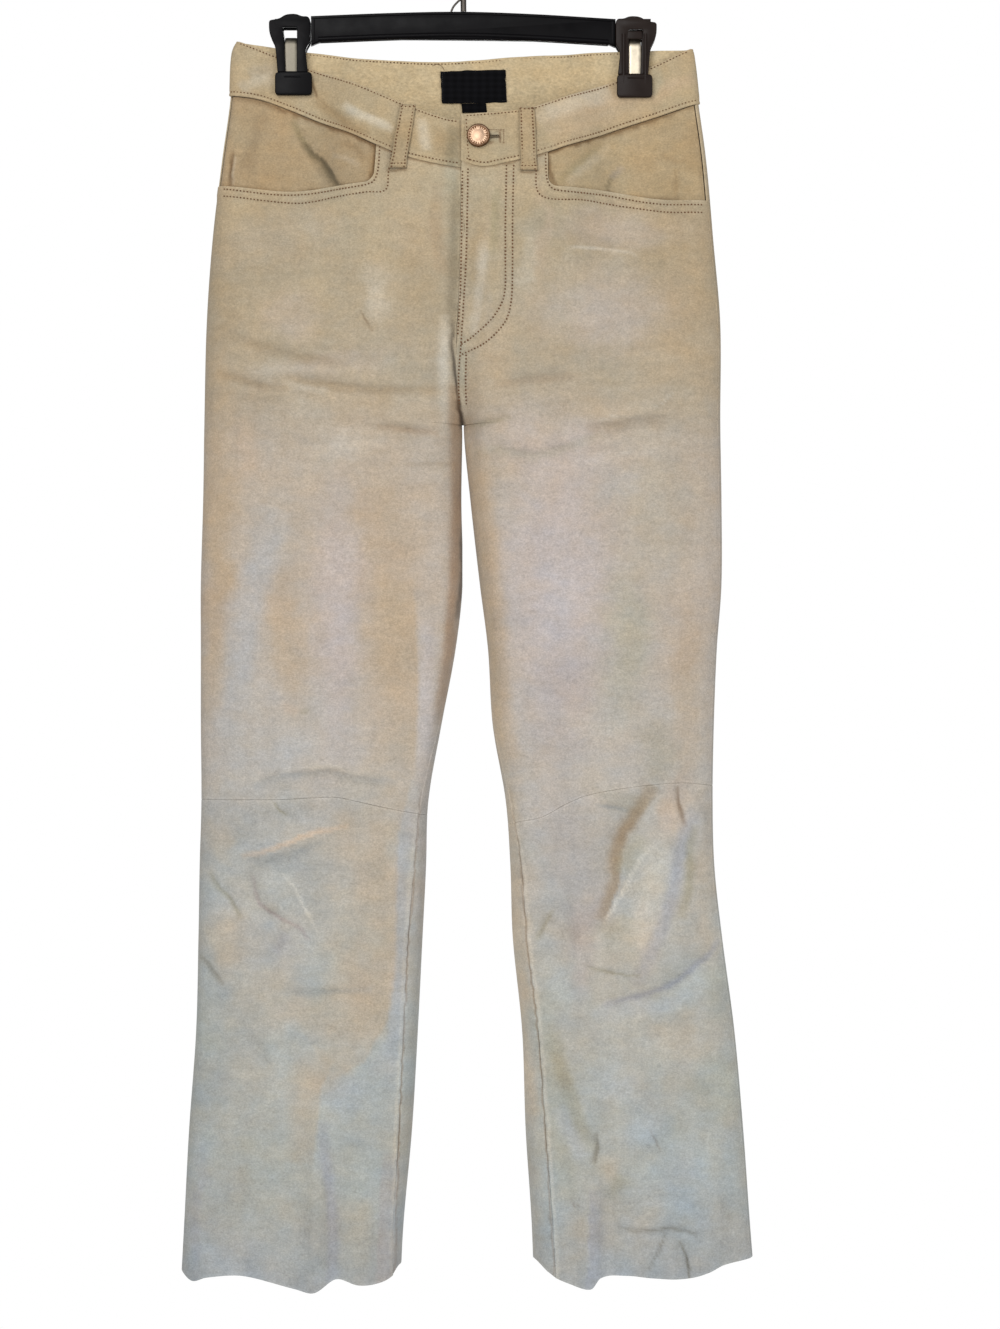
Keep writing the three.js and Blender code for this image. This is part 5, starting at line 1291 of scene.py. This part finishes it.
def loop_place(u, t, loop):
    """Where a loop's strap runs: u across it in millimetres, t from its top to its end."""
    face, top_x, top_z, lean, on_band = loop
    down = t * LOOP["length"]
    below = smoothstep(down, on_band, on_band + 6)
    bow = 1.2 * np.sin(np.pi * np.clip(down / on_band, 0, 1))
    clear = 0.5 + LOOP["thickness"] / 2
    lift = (BAND_FACE + clear + bow) * (1 - below) + (SUEDE / 2 + clear) * below
    turned_under = 0.9 * smoothstep(down, LOOP["length"] - 5, LOOP["length"] - 2.5)
    wide = 1 + 0.03 * np.sin(9 * t + top_x) + 0.07 * smoothstep(down, LOOP["length"] - 9, LOOP["length"] - 5)
    return face, top_x + lean * t - u * wide * face, top_z - down + 0 * u, lift + turned_under


for place, loop in LOOPS.items():
    half = LOOP["width"] / 2
    u = np.concatenate([[d - half for d in FINE], np.linspace(FINE[-1] - half, half - FINE[-1], 6)[1:-1],
                        [half - d for d in reversed(FINE)]])
    t = np.array([d + share * LOOP["length"] for d, share in stops(LOOP["length"], 1.6)]) / LOOP["length"]
    u, t = np.meshgrid(u, t)
    face, x, z, lift = loop_place(u, t, loop)
    groove = 0.35 * np.exp(-(((np.abs(u) - LOOP["row"]) / 1.2) ** 2))
    lift = lift - groove + 0.15 * mottle(u, t * LOOP["length"], 5, 9, 71)
    points, normals = on_cloth(face, x, z, lift)
    strap, flat, area = cloth(f"belt_loop_{place}", points, normals, LOOP["thickness"], rounding=1.3,
                              colour=dye_and_painted_shade(np.full(x.shape, face), x, z) * linear("#f6f0e6"), rim_tone=-0.2)
    rests = place.split("_")
    rests = "waistband_back_right" if place == "back_centre" else f"waistband_{rests[0]}_{rests[1]}"
    finish(strap, NAPPED_SUEDE, "suede", f"belt_loop_{place}")
    runs = []
    for row in (-LOOP["row"], LOOP["row"]):
        t_row = np.linspace(0.02, 0.98, 60)
        face, x, z, lift = loop_place(np.full(60, row), t_row, loop)
        runs.append(on_cloth(face, x, z, lift + LOOP["thickness"] / 2 - 0.25)[0])
    for t_bar in LOOP["bars"]:
        u_row = np.linspace(-LOOP["bar"], LOOP["bar"], 12)
        face, x, z, lift = loop_place(u_row, np.full(12, t_bar), loop)
        runs.append(on_cloth(face, x, z, lift + LOOP["thickness"] / 2 + 0.1)[0])
    sew(f"belt_loop_{place}_stitching", runs)

# ---- Label and size tag --------------------------------------------------------------
# Bare woven labels of black satin ribbon, drawn flat without the folds at their ends,
# and caught down by a few stitches. A loose thread hangs from the row above.
LABEL = {"left": -18.7, "right": 36.5, "top": -121.5, "bottom": -149, "thickness": 1}
SIZE_TAG = {"left": -1.2, "right": 19.8, "top": -149.2, "bottom": -157}
label_lift = facing_face - 0.4 - LABEL["thickness"] / 2


WAVES = 20  # a wave texture of scale 1 has this many bands to the metre


def ribbon_finish():
    """Woven polyester satin: black, with fine ribs that catch a little light. The real
    ribs are 0.3 mm apart and are drawn at 0.8 mm so that they show."""
    material, shader, place = new_finish("black satin ribbon", Roughness=0.75, Specular_IOR_Level=0.05)
    both = add_node(material, "Math", {"operation": "ADD"})
    for socket, (direction, rib_mm) in zip(both.inputs, (("Z", 0.8), ("X", 1.1))):
        lie = {"bands_direction": direction, "Scale": 1000 / rib_mm / WAVES, "Distortion": 0.6, "Detail": 1.0}
        ribs = add_node(material, "TexWave", lie, Vector=place)
        material.node_tree.links.new(ribs.outputs["Fac"], socket)
    shade = add_node(material, "MapRange", {"From Max": 2.0, "To Min": 0.002, "To Max": 0.005},
                     Value=both.outputs[0]).outputs[0]
    blue = add_node(material, "Math", {"operation": "MULTIPLY"})
    blue.inputs[1].default_value = 1.25
    material.node_tree.links.new(shade, blue.inputs[0])
    black = add_node(material, "CombineColor", None, Red=shade, Green=shade, Blue=blue.outputs[0])
    feed(material, shader, Base_Color=black.outputs[0], Normal=bumped(material, both.outputs[0], 0.5, 0.2))
    return material


RIBBON = ribbon_finish()


def ribbon(name, node, spot, ragged):
    """A flat label on the facing, a little uneven along its edges, with its flat size."""
    x = np.linspace(spot["left"], spot["right"], 40)
    z = np.linspace(spot["top"], spot["bottom"], 24)
    x, z = np.meshgrid(x, z)
    share_x = (x - spot["left"]) / (spot["right"] - spot["left"])
    share_z = (z - spot["bottom"]) / (spot["top"] - spot["bottom"])
    x = x + ragged * mottle(x, z, 5, 4, 81) + ragged * 2.5 * (0.5 - share_z)
    z = z + ragged * mottle(x, z, 6, 5, 82) + ragged * 3 * (share_x - 0.5)
    bulge = 0.3 * mottle(x, z, 16, 9, 83)
    points, normals = on_cloth(BACK, x, z, label_lift + np.minimum(bulge, 0.1))
    piece, flat, area = cloth(name, points, normals, spot.get("thickness", 0.9), rounding=0.6)
    finish(piece, RIBBON, "label_cloth", node)
    return piece, flat, area


tag, *_ = ribbon("size_tag_bare", "size_tag", SIZE_TAG, 0.25)
label, flat, area = ribbon("maker_label_bare", "label", LABEL, 0.5)
BLACK_THREAD = thread_finish("black polyester thread", "#2a2829")
corner_rows = [
    [(-19.5, -123.5), (-16, -123.8)], [(34.5, -120.5), (37.5, -120.2)], [(-16.5, -147.8), (-13, -148.6)],
    [(34, -147), (37.5, -147)], [(-17.8, -125), (-17.4, -146)], [(36.4, -122), (36.9, -145)],
]
sew("label_stitching", [on_cloth(BACK, *smooth_run(row, 0.5).T, label_lift - 0.75)[0] for row in corner_rows],
    "label_cloth", BLACK_THREAD, {"Spacing": 1.7 * MM, "Length": 1.4 * MM, "Thickness": 0.45 * MM})
LOOSE_END = [(-26, -117.5), (-22.5, -116), (-18.5, -117.5), (-16, -121)]
end_x, end_z = smooth_run(LOOSE_END, 0.6).T
sew("loose_thread", [on_cloth(BACK, end_x, end_z, facing_face - 0.5)[0]], "suede", BROWN_THREAD,
    {"Spacing": 0.5 * MM, "Length": 0.9 * MM, "Thickness": 0.4 * MM})

# ---- Zip tape ------------------------------------------------------------------------
# A woven tape behind the fly, with the zip closed. It shows only from inside the waist.
TAPE = {"half_width": 13, "top": -216, "bottom": -335, "thickness": 1.2, "behind": 1.5, "rib": 1.2}


def tape_finish():
    """Woven polyester tape: matt, with ribs across it that show as faint bands."""
    material, shader, place = new_finish("woven zip tape", Roughness=0.85)
    lie = {"bands_direction": "Z", "Scale": 1000 / TAPE["rib"] / WAVES}
    weave = add_node(material, "TexWave", lie, Vector=place).outputs["Fac"]
    feed(material, shader, Base_Color=ramp(material, weave, linear("#8b7557"), linear("#a58e70")))
    return material


x, z = np.meshgrid(np.linspace(-TAPE["half_width"], TAPE["half_width"], 14),
                   np.linspace(TAPE["top"], TAPE["bottom"], 60))
points, normals = on_cloth(FRONT, x, z, -SUEDE / 2 - TAPE["behind"] - TAPE["thickness"] / 2)
tape, flat, area = cloth("fly_zip_tape", points, normals, TAPE["thickness"])
finish(tape, tape_finish(), "zip_tape", "fly_zip")

# ---- Button --------------------------------------------------------------------------
# A shank button of copper-plated brass 20 mm across: a low dome in a ring of short ribs,
# inside a turned-over rim. Its shank stands in the keyhole.
BUTTON_FORM = {"radius": 9.5, "height": 4.6, "shank": 2.4, "clear": 0.6}


def metal(name, colour, roughness, smudge, scratch_mm=0.8):
    """A plated or bare metal, smudged and finely scratched by handling."""
    material, shader, place = new_finish(name, Metallic=1)
    smears = noise_node(material, place, 5, 4.0)
    scratches = noise_node(material, place, scratch_mm, 2.0)
    feed(material, shader,
         Base_Color=ramp(material, smears, linear(colour) * (1 - smudge), linear(colour), 0.35, 0.65),
         Roughness=spread(material, smears, roughness * 0.8, roughness * 1.25),
         Normal=bumped(material, scratches, 0.12, 0.1))
    return material


def tidy_mesh(mesh, sharp_degrees=35):
    """Merges what coincides, turns every face outward and shades it smoothly."""
    work = bmesh.new()
    work.from_mesh(mesh)
    bmesh.ops.remove_doubles(work, verts=work.verts, dist=0.004 * MM)
    bmesh.ops.recalc_face_normals(work, faces=work.faces)
    work.to_mesh(mesh)
    work.free()
    mesh.shade_smooth()
    mesh.set_sharp_from_angle(angle=math.radians(sharp_degrees))


def lathe(name, profile, place, axis, turns=72, ribs=None):
    """A solid turned from a profile of (radius, height), stood at a place along an axis.
    ribs are (least radius, greatest radius, count, height) of a ring of short ribs."""
    angles = np.arange(turns) * 2 * math.pi / turns
    radius, height = np.array(profile, float).T[:, :, None]
    lift = height + np.zeros((1, turns))
    if ribs:
        low, high, count, tall = ribs
        lift = lift + np.where((radius > low) & (radius < high), tall * (np.cos(angles * count) > 0), 0)
    rings = np.stack([radius * np.cos(angles), radius * np.sin(angles), lift], -1)
    turn = np.array(Vector((0, 0, 1)).rotation_difference(Vector(axis)).to_matrix())
    points = (rings.reshape(-1, 3) @ turn.T + place) * MM
    number = np.arange(len(points)).reshape(len(profile), turns)
    nxt = np.roll(number, -1, 1)
    faces = np.stack([number[:-1], nxt[:-1], nxt[1:], number[1:]], -1).reshape(-1, 4)
    mesh = bpy.data.meshes.new(name)
    mesh.from_pydata(points.tolist(), [], faces.tolist())
    tidy_mesh(mesh)
    return link(name, mesh)


rim, tall, shank = BUTTON_FORM["radius"], BUTTON_FORM["height"], BUTTON_FORM["shank"]
lift = BAND_FACE + BUTTON_FORM["clear"]
seat, seat_normal = (found[0] for found in on_cloth(FRONT, [BUTTON["x"]], [BUTTON["z"]], lift))
shank_end = -(BAND["thickness"] + BUTTON_FORM["clear"] + 0.15)
PROFILE = [(0, shank_end), (shank, shank_end), (shank, 0), (rim - 1.6, 0), (rim - 0.5, 0.3), (rim, 1.1),
           (rim, tall - 1.6), (rim - 0.25, tall - 0.9), (rim - 0.7, tall - 0.55), (rim - 1.2, tall - 0.75),
           (rim - 1.5, tall - 1.15), (rim - 1.9, tall - 1.25), (rim - 3.2, tall - 1.1),
           (rim - 3.5, tall - 0.95), (rim - 5, tall - 0.5), (rim - 7, tall - 0.15), (0, tall)]
CUP = [(0, 0.1), (rim - 0.3, 0.1), (rim + 0.3, 0.7), (rim + 0.3, tall - 1.2), (rim, tall - 0.6),
       (rim - 0.5, tall - 0.45), (rim - 0.9, tall - 0.9), (0, tall - 1.6)]
COPPER = metal("dulled copper plate", "#d0ae92", 0.44, 0.3)
# Darker copper for the cup round the rim: painted shade on the rim's side and underside.
RIM_SHADE_COPPER = metal("copper plate with painted rim shade", "#6d4e36", 0.5, 0.4)
finish(lathe("button_cup", CUP, seat, seat_normal), RIM_SHADE_COPPER, "copper")
button = lathe("shank_button", PROFILE, seat, seat_normal, ribs=(rim - 3.3, rim - 1.8, 22, 0.4))
finish(button, COPPER, "copper", "button")

# ---- Hanger bar and hook -------------------------------------------------------------
# A bar moulded in black polypropylene, with a lip along its top, a bead low on each face
# and a gusset under each end. The hook is bent from steel wire, with a strand at its foot.
BAR_TOP = [(-129, -78.3), (-60, -75.6), (0, -74.6), (60, -76.6), (129.6, -80.8)]
BAR_BOTTOM = [(129.6, -104.4), (123, -101.8), (114, -100.5), (95, -99.6), (0, -98), (-95, -97.6),
              (-112, -98.4), (-121, -100), (-129, -103.2)]
BAR = {"half": 4.5, "rounding": 1.4}
LIP = {"height": 2.4, "half": 5.3, "rounding": 0.5}
BEAD = {"drop": 19.6, "out": 2.7, "radius": 2.7}
COLLAR = {"half_width": 1.6, "height": 20, "half": 5.0, "rounding": 0.4}
COLLAR_TOPS = [(-127.2, -79.5), (127.6, -82)]
HOOK = {"wire": 2.5, "inner": 18}
STRAND = {"radius": 0.9, "path": [(-10, -73.7), (-8, -69.5), (-4.2, -65.2), (-1.8, -63.4)]}


def plastic(name, colour, gloss=0.07):
    """Polypropylene, injection moulded: a satin skin with a fine grain from its mould."""
    material, shader, place = new_finish(name, Specular_IOR_Level=gloss)
    patches = noise_node(material, place, 14, 3.0)
    feed(material, shader,
         Base_Color=ramp(material, patches, linear(colour) * 0.75, linear(colour) * 1.3),
         Roughness=spread(material, patches, 0.3, 0.46),
         Normal=bumped(material, noise_node(material, place, 0.9, 1.0), 0.12, 0.1))
    return material


def from_curve(name, curve, placing):
    """Turns a curve into a plain mesh, set in place."""
    piece = link(name, curve)
    mesh = bpy.data.meshes.new_from_object(piece.evaluated_get(bpy.context.evaluated_depsgraph_get()))
    bpy.data.objects.remove(piece)
    mesh.transform(placing)
    tidy_mesh(mesh)
    return link(name, mesh)


def plate(name, outlines, front, back, bevel=0.7):
    """A moulding with rounded edges between two depths: its outline as (x, z) points,
    then those of its openings."""
    curve = bpy.data.curves.new(name, "CURVE")
    curve.dimensions, curve.fill_mode = "2D", "BOTH"
    curve.extrude = ((back - front) / 2 - bevel) * MM
    curve.bevel_depth, curve.bevel_resolution, curve.offset = bevel * MM, 2, -bevel * MM
    for outline in outlines:
        spline = curve.splines.new("POLY")
        spline.points.add(len(outline) - 1)
        for point, (x, z) in zip(spline.points, outline):
            point.co = (x * MM, z * MM, 0, 1)
        spline.use_cyclic_u = True
    upright = Matrix.Translation((0, (front + back) / 2 * MM, 0)) @ Matrix.Rotation(math.pi / 2, 4, "X")
    return from_curve(name, curve, upright)


def rod(name, points, radius):
    """A round rod along points (x, y, z)."""
    curve = bpy.data.curves.new(name, "CURVE")
    curve.dimensions = "3D"
    curve.bevel_depth, curve.bevel_resolution, curve.use_fill_caps = radius * MM, 5, True
    spline = curve.splines.new("POLY")
    spline.points.add(len(points) - 1)
    for point, place in zip(spline.points, points):
        point.co = (*(np.array(place) * MM), 1)
    return from_curve(name, curve, Matrix.Identity(4))


def joined(name, *pieces):
    """Several closed solids as one piece."""
    whole = bmesh.new()
    for piece in pieces:
        whole.from_mesh(piece.data)
        bpy.data.objects.remove(piece)
    mesh = bpy.data.meshes.new(name)
    whole.to_mesh(mesh)
    whole.free()
    return link(name, mesh)


BLACK_PLASTIC = plastic("black moulded plastic", "#070608")
bar_outline = np.concatenate([smooth_run(BAR_TOP, 6), smooth_run(BAR_BOTTOM, 3)])
lip = smooth_run(BAR_TOP, 6)
lip_outline = np.concatenate([lip, (lip - (0, LIP["height"]))[::-1]])
parts = [plate("bar", [bar_outline], -BAR["half"], BAR["half"], BAR["rounding"]),
         plate("lip", [lip_outline], -LIP["half"], LIP["half"], LIP["rounding"])]
for y in (-BEAD["out"], BEAD["out"]):
    parts.append(rod("bead", [(x, y, z - BEAD["drop"]) for x, z in lip[1:-1]], BEAD["radius"]))
for x, z in COLLAR_TOPS:
    left, right, foot = x - COLLAR["half_width"], x + COLLAR["half_width"], z - COLLAR["height"]
    collar = [(left, z), (right, z), (right, foot), (left, foot)]
    parts.append(plate("collar", [collar], -COLLAR["half"], COLLAR["half"], COLLAR["rounding"]))
finish(joined("hanger_bar_moulding", *parts), BLACK_PLASTIC, "black_plastic", "hanger_bar")

DARK_STEEL = metal("oiled steel wire", "#5a554f", 0.4, 0.4)
bend = HOOK["inner"] + HOOK["wire"]
over = [(bend * math.cos(a), -HOOK["inner"] + bend * math.sin(a)) for a in np.radians(np.arange(-45, 201, 7))]
stem = smooth_run([(0.5, -73.7), (0.5, -62), (1.5, -52), (7, -42), over[0]])
strand = smooth_run(STRAND["path"], 0.8)
for name, path, radius, node in (("hook_wire", (*stem, *over[1:]), HOOK["wire"], "hanger_hook"),
                                 ("hook_foot_strand", strand, STRAND["radius"], "hook_strand")):
    finish(rod(name, [(x, 0, z) for x, z in path], radius), DARK_STEEL, "dark_steel", node)

# ---- Clips ---------------------------------------------------------------------------
# Each is two moulded jaws held shut by a bent strip of spring steel that shows through a
# slot in each. A core between the jaws closes on the bar's end.
JAW = {"inner": 5.1, "thickness": 4.4, "pad": 1.2}
HEAD = [(-11.6, -126.5, 1), (-13.5, -104, 5), (-18.8, -94, 7), (-18.9, -82.4, 2.4), (-10, -81.2, 6),
        (-5, -77.4, 6), (4, -76.8, 6), (9, -79.2, 4), (14, -79, 2), (16, -81.8, 1.2), (15.9, -101, 2),
        (12, -107, 5), (14.1, -126.5, 1)]
WINDOW = [(-7.3, -88.3, 1.6), (4.9, -88.3, 1.6), (4.7, -126.2, 0.8), (-4.8, -126.2, 0.8), (-6.2, -97, 6)]
PAD = {"top": -126.2, "shoulder": -127.6, "bottom": -146}
RIBS = {"places": (-9.2, 9.3), "top": -92, "bottom": -134, "radius": 1.7, "sunk": 0.4}
PAD_LIP = {"z": -130.6, "from": -6, "to": 8, "radius": 0.7}
CORE = {"half_width": 14, "top": -80.5, "bottom": -86, "half": 4.7}
BOSS = [(0, 0), (2.3, 0), (2.3, 1), (1.7, 1.5), (0, 1.5)]
BRIDGE = [(-6.5, -91.7), (6.5, -91.7), (6.5, -98.5), (-6.5, -98.5)]
STRIP = {"width": 10.2, "aside": 0.4, "thickness": 1, "top": -96.6, "bottom": -125.6, "bend": 6.5}


def rounded(corners, steps=5):
    """The outline through corners (x, z, radius), each of them turned on a curve."""
    outline = []
    for i, (x, z, radius) in enumerate(corners):
        here = np.array((x, z), float)
        ways = [np.array(corners[(i + k) % len(corners)][:2]) - here for k in (-1, 1)]
        before, after = (way / np.linalg.norm(way) * min(radius, np.linalg.norm(way) / 2.1) for way in ways)
        outline += [here + before * (1 - t) ** 2 + after * t * t for t in np.linspace(0, 1, steps)]
    return outline


DULL_STEEL = metal("dull spring steel", "#8a8477", 0.48, 0.45)
# The same spring steel made brighter for the left clip's strip: a painted reflection.
BRIGHT_STEEL = metal("bright spring steel", "#d8cdb8", 0.42, 0.25)
BROWNED_PLASTIC = plastic("brown-black moulded plastic", "#1f1612", 0.12)
CLIP_LOOKS = {
    # side, shift down, pad's left and right, materials of the jaws and of the strip
    "right": (RIGHT, 0.0, -13.7, 17.6, BLACK_PLASTIC, DULL_STEEL),
    "left": (LEFT, 2.0, -14.9, 15.2, BROWNED_PLASTIC, BRIGHT_STEEL),
}


def clip_jaw(name, face, side, drop, pad_left, pad_right):
    """A jaw: its head and arms round the slot and its pad. The left clip's jaws, from
    another mould, have ribs beside the slot too, and a bridge across its top."""
    def here(corners, mirrored=True):
        turned = [(-side * x if mirrored else x, z, r) for x, z, *r in corners]
        return [(x + side * CLIP["x"], z - drop) for x, z in rounded([(x, z, *r) for x, z, r in turned])]

    near, far = sorted((face * JAW["inner"], face * (JAW["inner"] + JAW["thickness"])))
    top, shoulder, bottom = PAD["top"], PAD["shoulder"], PAD["bottom"]
    pad = [(pad_left, shoulder, 3.2), (pad_left, bottom, 3.6), (pad_right, bottom, 3.6),
           (pad_right, shoulder, 3.2), (pad_right - 3, top, 3), (pad_left + 3, top, 3)]
    pieces = [plate("arms", [here(HEAD), here(WINDOW)], near, far)]
    pieces.append(plate("pad", [here(pad, False)], min(near, near - JAW["pad"] * (face < 0)),
                        max(far, far + JAW["pad"] * (face > 0)), 1.0))
    if side == LEFT:
        for place in RIBS["places"]:
            x, y = CLIP["x"] - place, face * (JAW["inner"] + JAW["thickness"] - RIBS["sunk"])
            rib = [(x, y, z - drop) for z in (RIBS["top"], RIBS["bottom"])]
            pieces += [rod("rib", rib, RIBS["radius"]), lathe("boss", BOSS, rib[-1], (0, face, 0))]
        pieces.append(plate("bridge", [[(CLIP["x"] + x, z) for x, z in BRIDGE]], near, far))
    y = face * (JAW["inner"] + JAW["thickness"] + JAW["pad"])
    ends = [(side * CLIP["x"] + x, y, PAD_LIP["z"] - drop / 2) for x in (PAD_LIP["from"], PAD_LIP["to"])]
    pieces.append(rod("lip", ends, PAD_LIP["radius"]))
    return joined(name, *pieces)


for side_name, (side, drop, pad_left, pad_right, moulding, steel) in CLIP_LOOKS.items():
    for face, word in ((FRONT, "front"), (BACK, "back")):
        jaw = clip_jaw(f"clip_{side_name}_{word}_moulding", face, side, drop, pad_left, pad_right)
        finish(jaw, moulding, "black_plastic", f"clip_{side_name}_{word}_jaw")
    middle = side * CLIP["x"]
    left, right = middle - CORE["half_width"], middle + CORE["half_width"]
    block = [(left, CORE["top"]), (right, CORE["top"]), (right, CORE["bottom"]), (left, CORE["bottom"])]
    core = plate(f"clip_{side_name}_middle", [block], -CORE["half"], CORE["half"])
    finish(core, moulding, "black_plastic", f"clip_{side_name}_core")
    bow, foot = STRIP["bend"], STRIP["bottom"]
    arc = np.radians(np.linspace(0, 180, 19))
    over = [(bow * math.cos(a), STRIP["top"] - bow + bow * math.sin(a)) for a in arc]
    bent = np.array([(bow, foot), *over, (-bow, foot)])
    sideways = middle + side * STRIP["aside"] + np.linspace(-STRIP["width"] / 2, STRIP["width"] / 2, 9)
    points = np.stack(np.broadcast_arrays(sideways, bent[:, :1], bent[:, 1:] - drop), -1)
    along_strip = np.gradient(bent, axis=0)
    outward = np.stack([0 * along_strip[:, 0], along_strip[:, 1], -along_strip[:, 0]], -1)
    outward /= np.linalg.norm(outward, axis=1, keepdims=True)
    strip, _, _ = cloth(f"clip_{side_name}_strip", points, np.broadcast_to(outward[:, None], points.shape),
                        STRIP["thickness"], rounding=0.3)
    finish(strip, steel, "spring_steel", f"clip_{side_name}_spring")

# ---- Floor and light -----------------------------------------------------------------
# A plain pale floor below the hems, a white surround, and soft studio light from the
# upper left with a weaker fill from the right.
FLOOR = {"z": -1600, "radius": 900}
floor_mesh = bpy.data.meshes.new("floor")
ring = [(FLOOR["radius"] * MM * math.cos(a), FLOOR["radius"] * MM * math.sin(a), FLOOR["z"] * MM)
        for a in np.linspace(0, 2 * math.pi, 97)[:-1]]
floor_mesh.from_pydata(ring, [], [list(range(96))])
floor = link("floor", floor_mesh)
paint = bpy.data.materials.new("matt white floor paint")
paint.use_nodes = True
paint.node_tree.nodes["Principled BSDF"].inputs["Base Color"].default_value = rgba("#f2f1ee")
paint.node_tree.nodes["Principled BSDF"].inputs["Roughness"].default_value = 0.8
floor.data.materials.append(paint)

world = bpy.data.worlds.new("white surround")
bpy.context.scene.world = world
world.use_nodes = True
nodes = world.node_tree.nodes
sky = nodes["Background"]
seen = nodes.new("ShaderNodeBackground")
path = nodes.new("ShaderNodeLightPath")
pick = nodes.new("ShaderNodeMixShader")
for surround, strength in ((sky, 0.47), (seen, 1.0)):
    surround.inputs["Color"].default_value = rgba("#ffffff")
    surround.inputs["Strength"].default_value = strength
world.node_tree.links.new(path.outputs["Is Camera Ray"], pick.inputs[0])
world.node_tree.links.new(sky.outputs[0], pick.inputs[1])
world.node_tree.links.new(seen.outputs[0], pick.inputs[2])
world.node_tree.links.new(pick.outputs[0], nodes["World Output"].inputs["Surface"])
bpy.context.scene.view_settings.view_transform = "Standard"


def softbox(name, place, aim, width, height, watts):
    """A soft rectangular light at a place in millimetres, turned to face another."""
    light = bpy.data.objects.new(name, bpy.data.lights.new(name, "AREA"))
    light.data.shape = "RECTANGLE"
    light.data.size, light.data.size_y, light.data.energy = width * MM, height * MM, watts
    light.location = [c * MM for c in place]
    light.rotation_euler = (Vector(aim) - Vector(place)).to_track_quat("-Z", "Y").to_euler()
    bpy.context.scene.collection.objects.link(light)


softbox("key", (-700, -2500, 400), (0, 0, -550), 1300, 1700, 40)
softbox("fill", (1700, -2300, -300), (0, 0, -650), 1300, 1700, 21)
softbox("back", (600, 2600, 200), (0, 0, -600), 1300, 1700, 26)
bpy.data.objects["back"].visible_camera = False
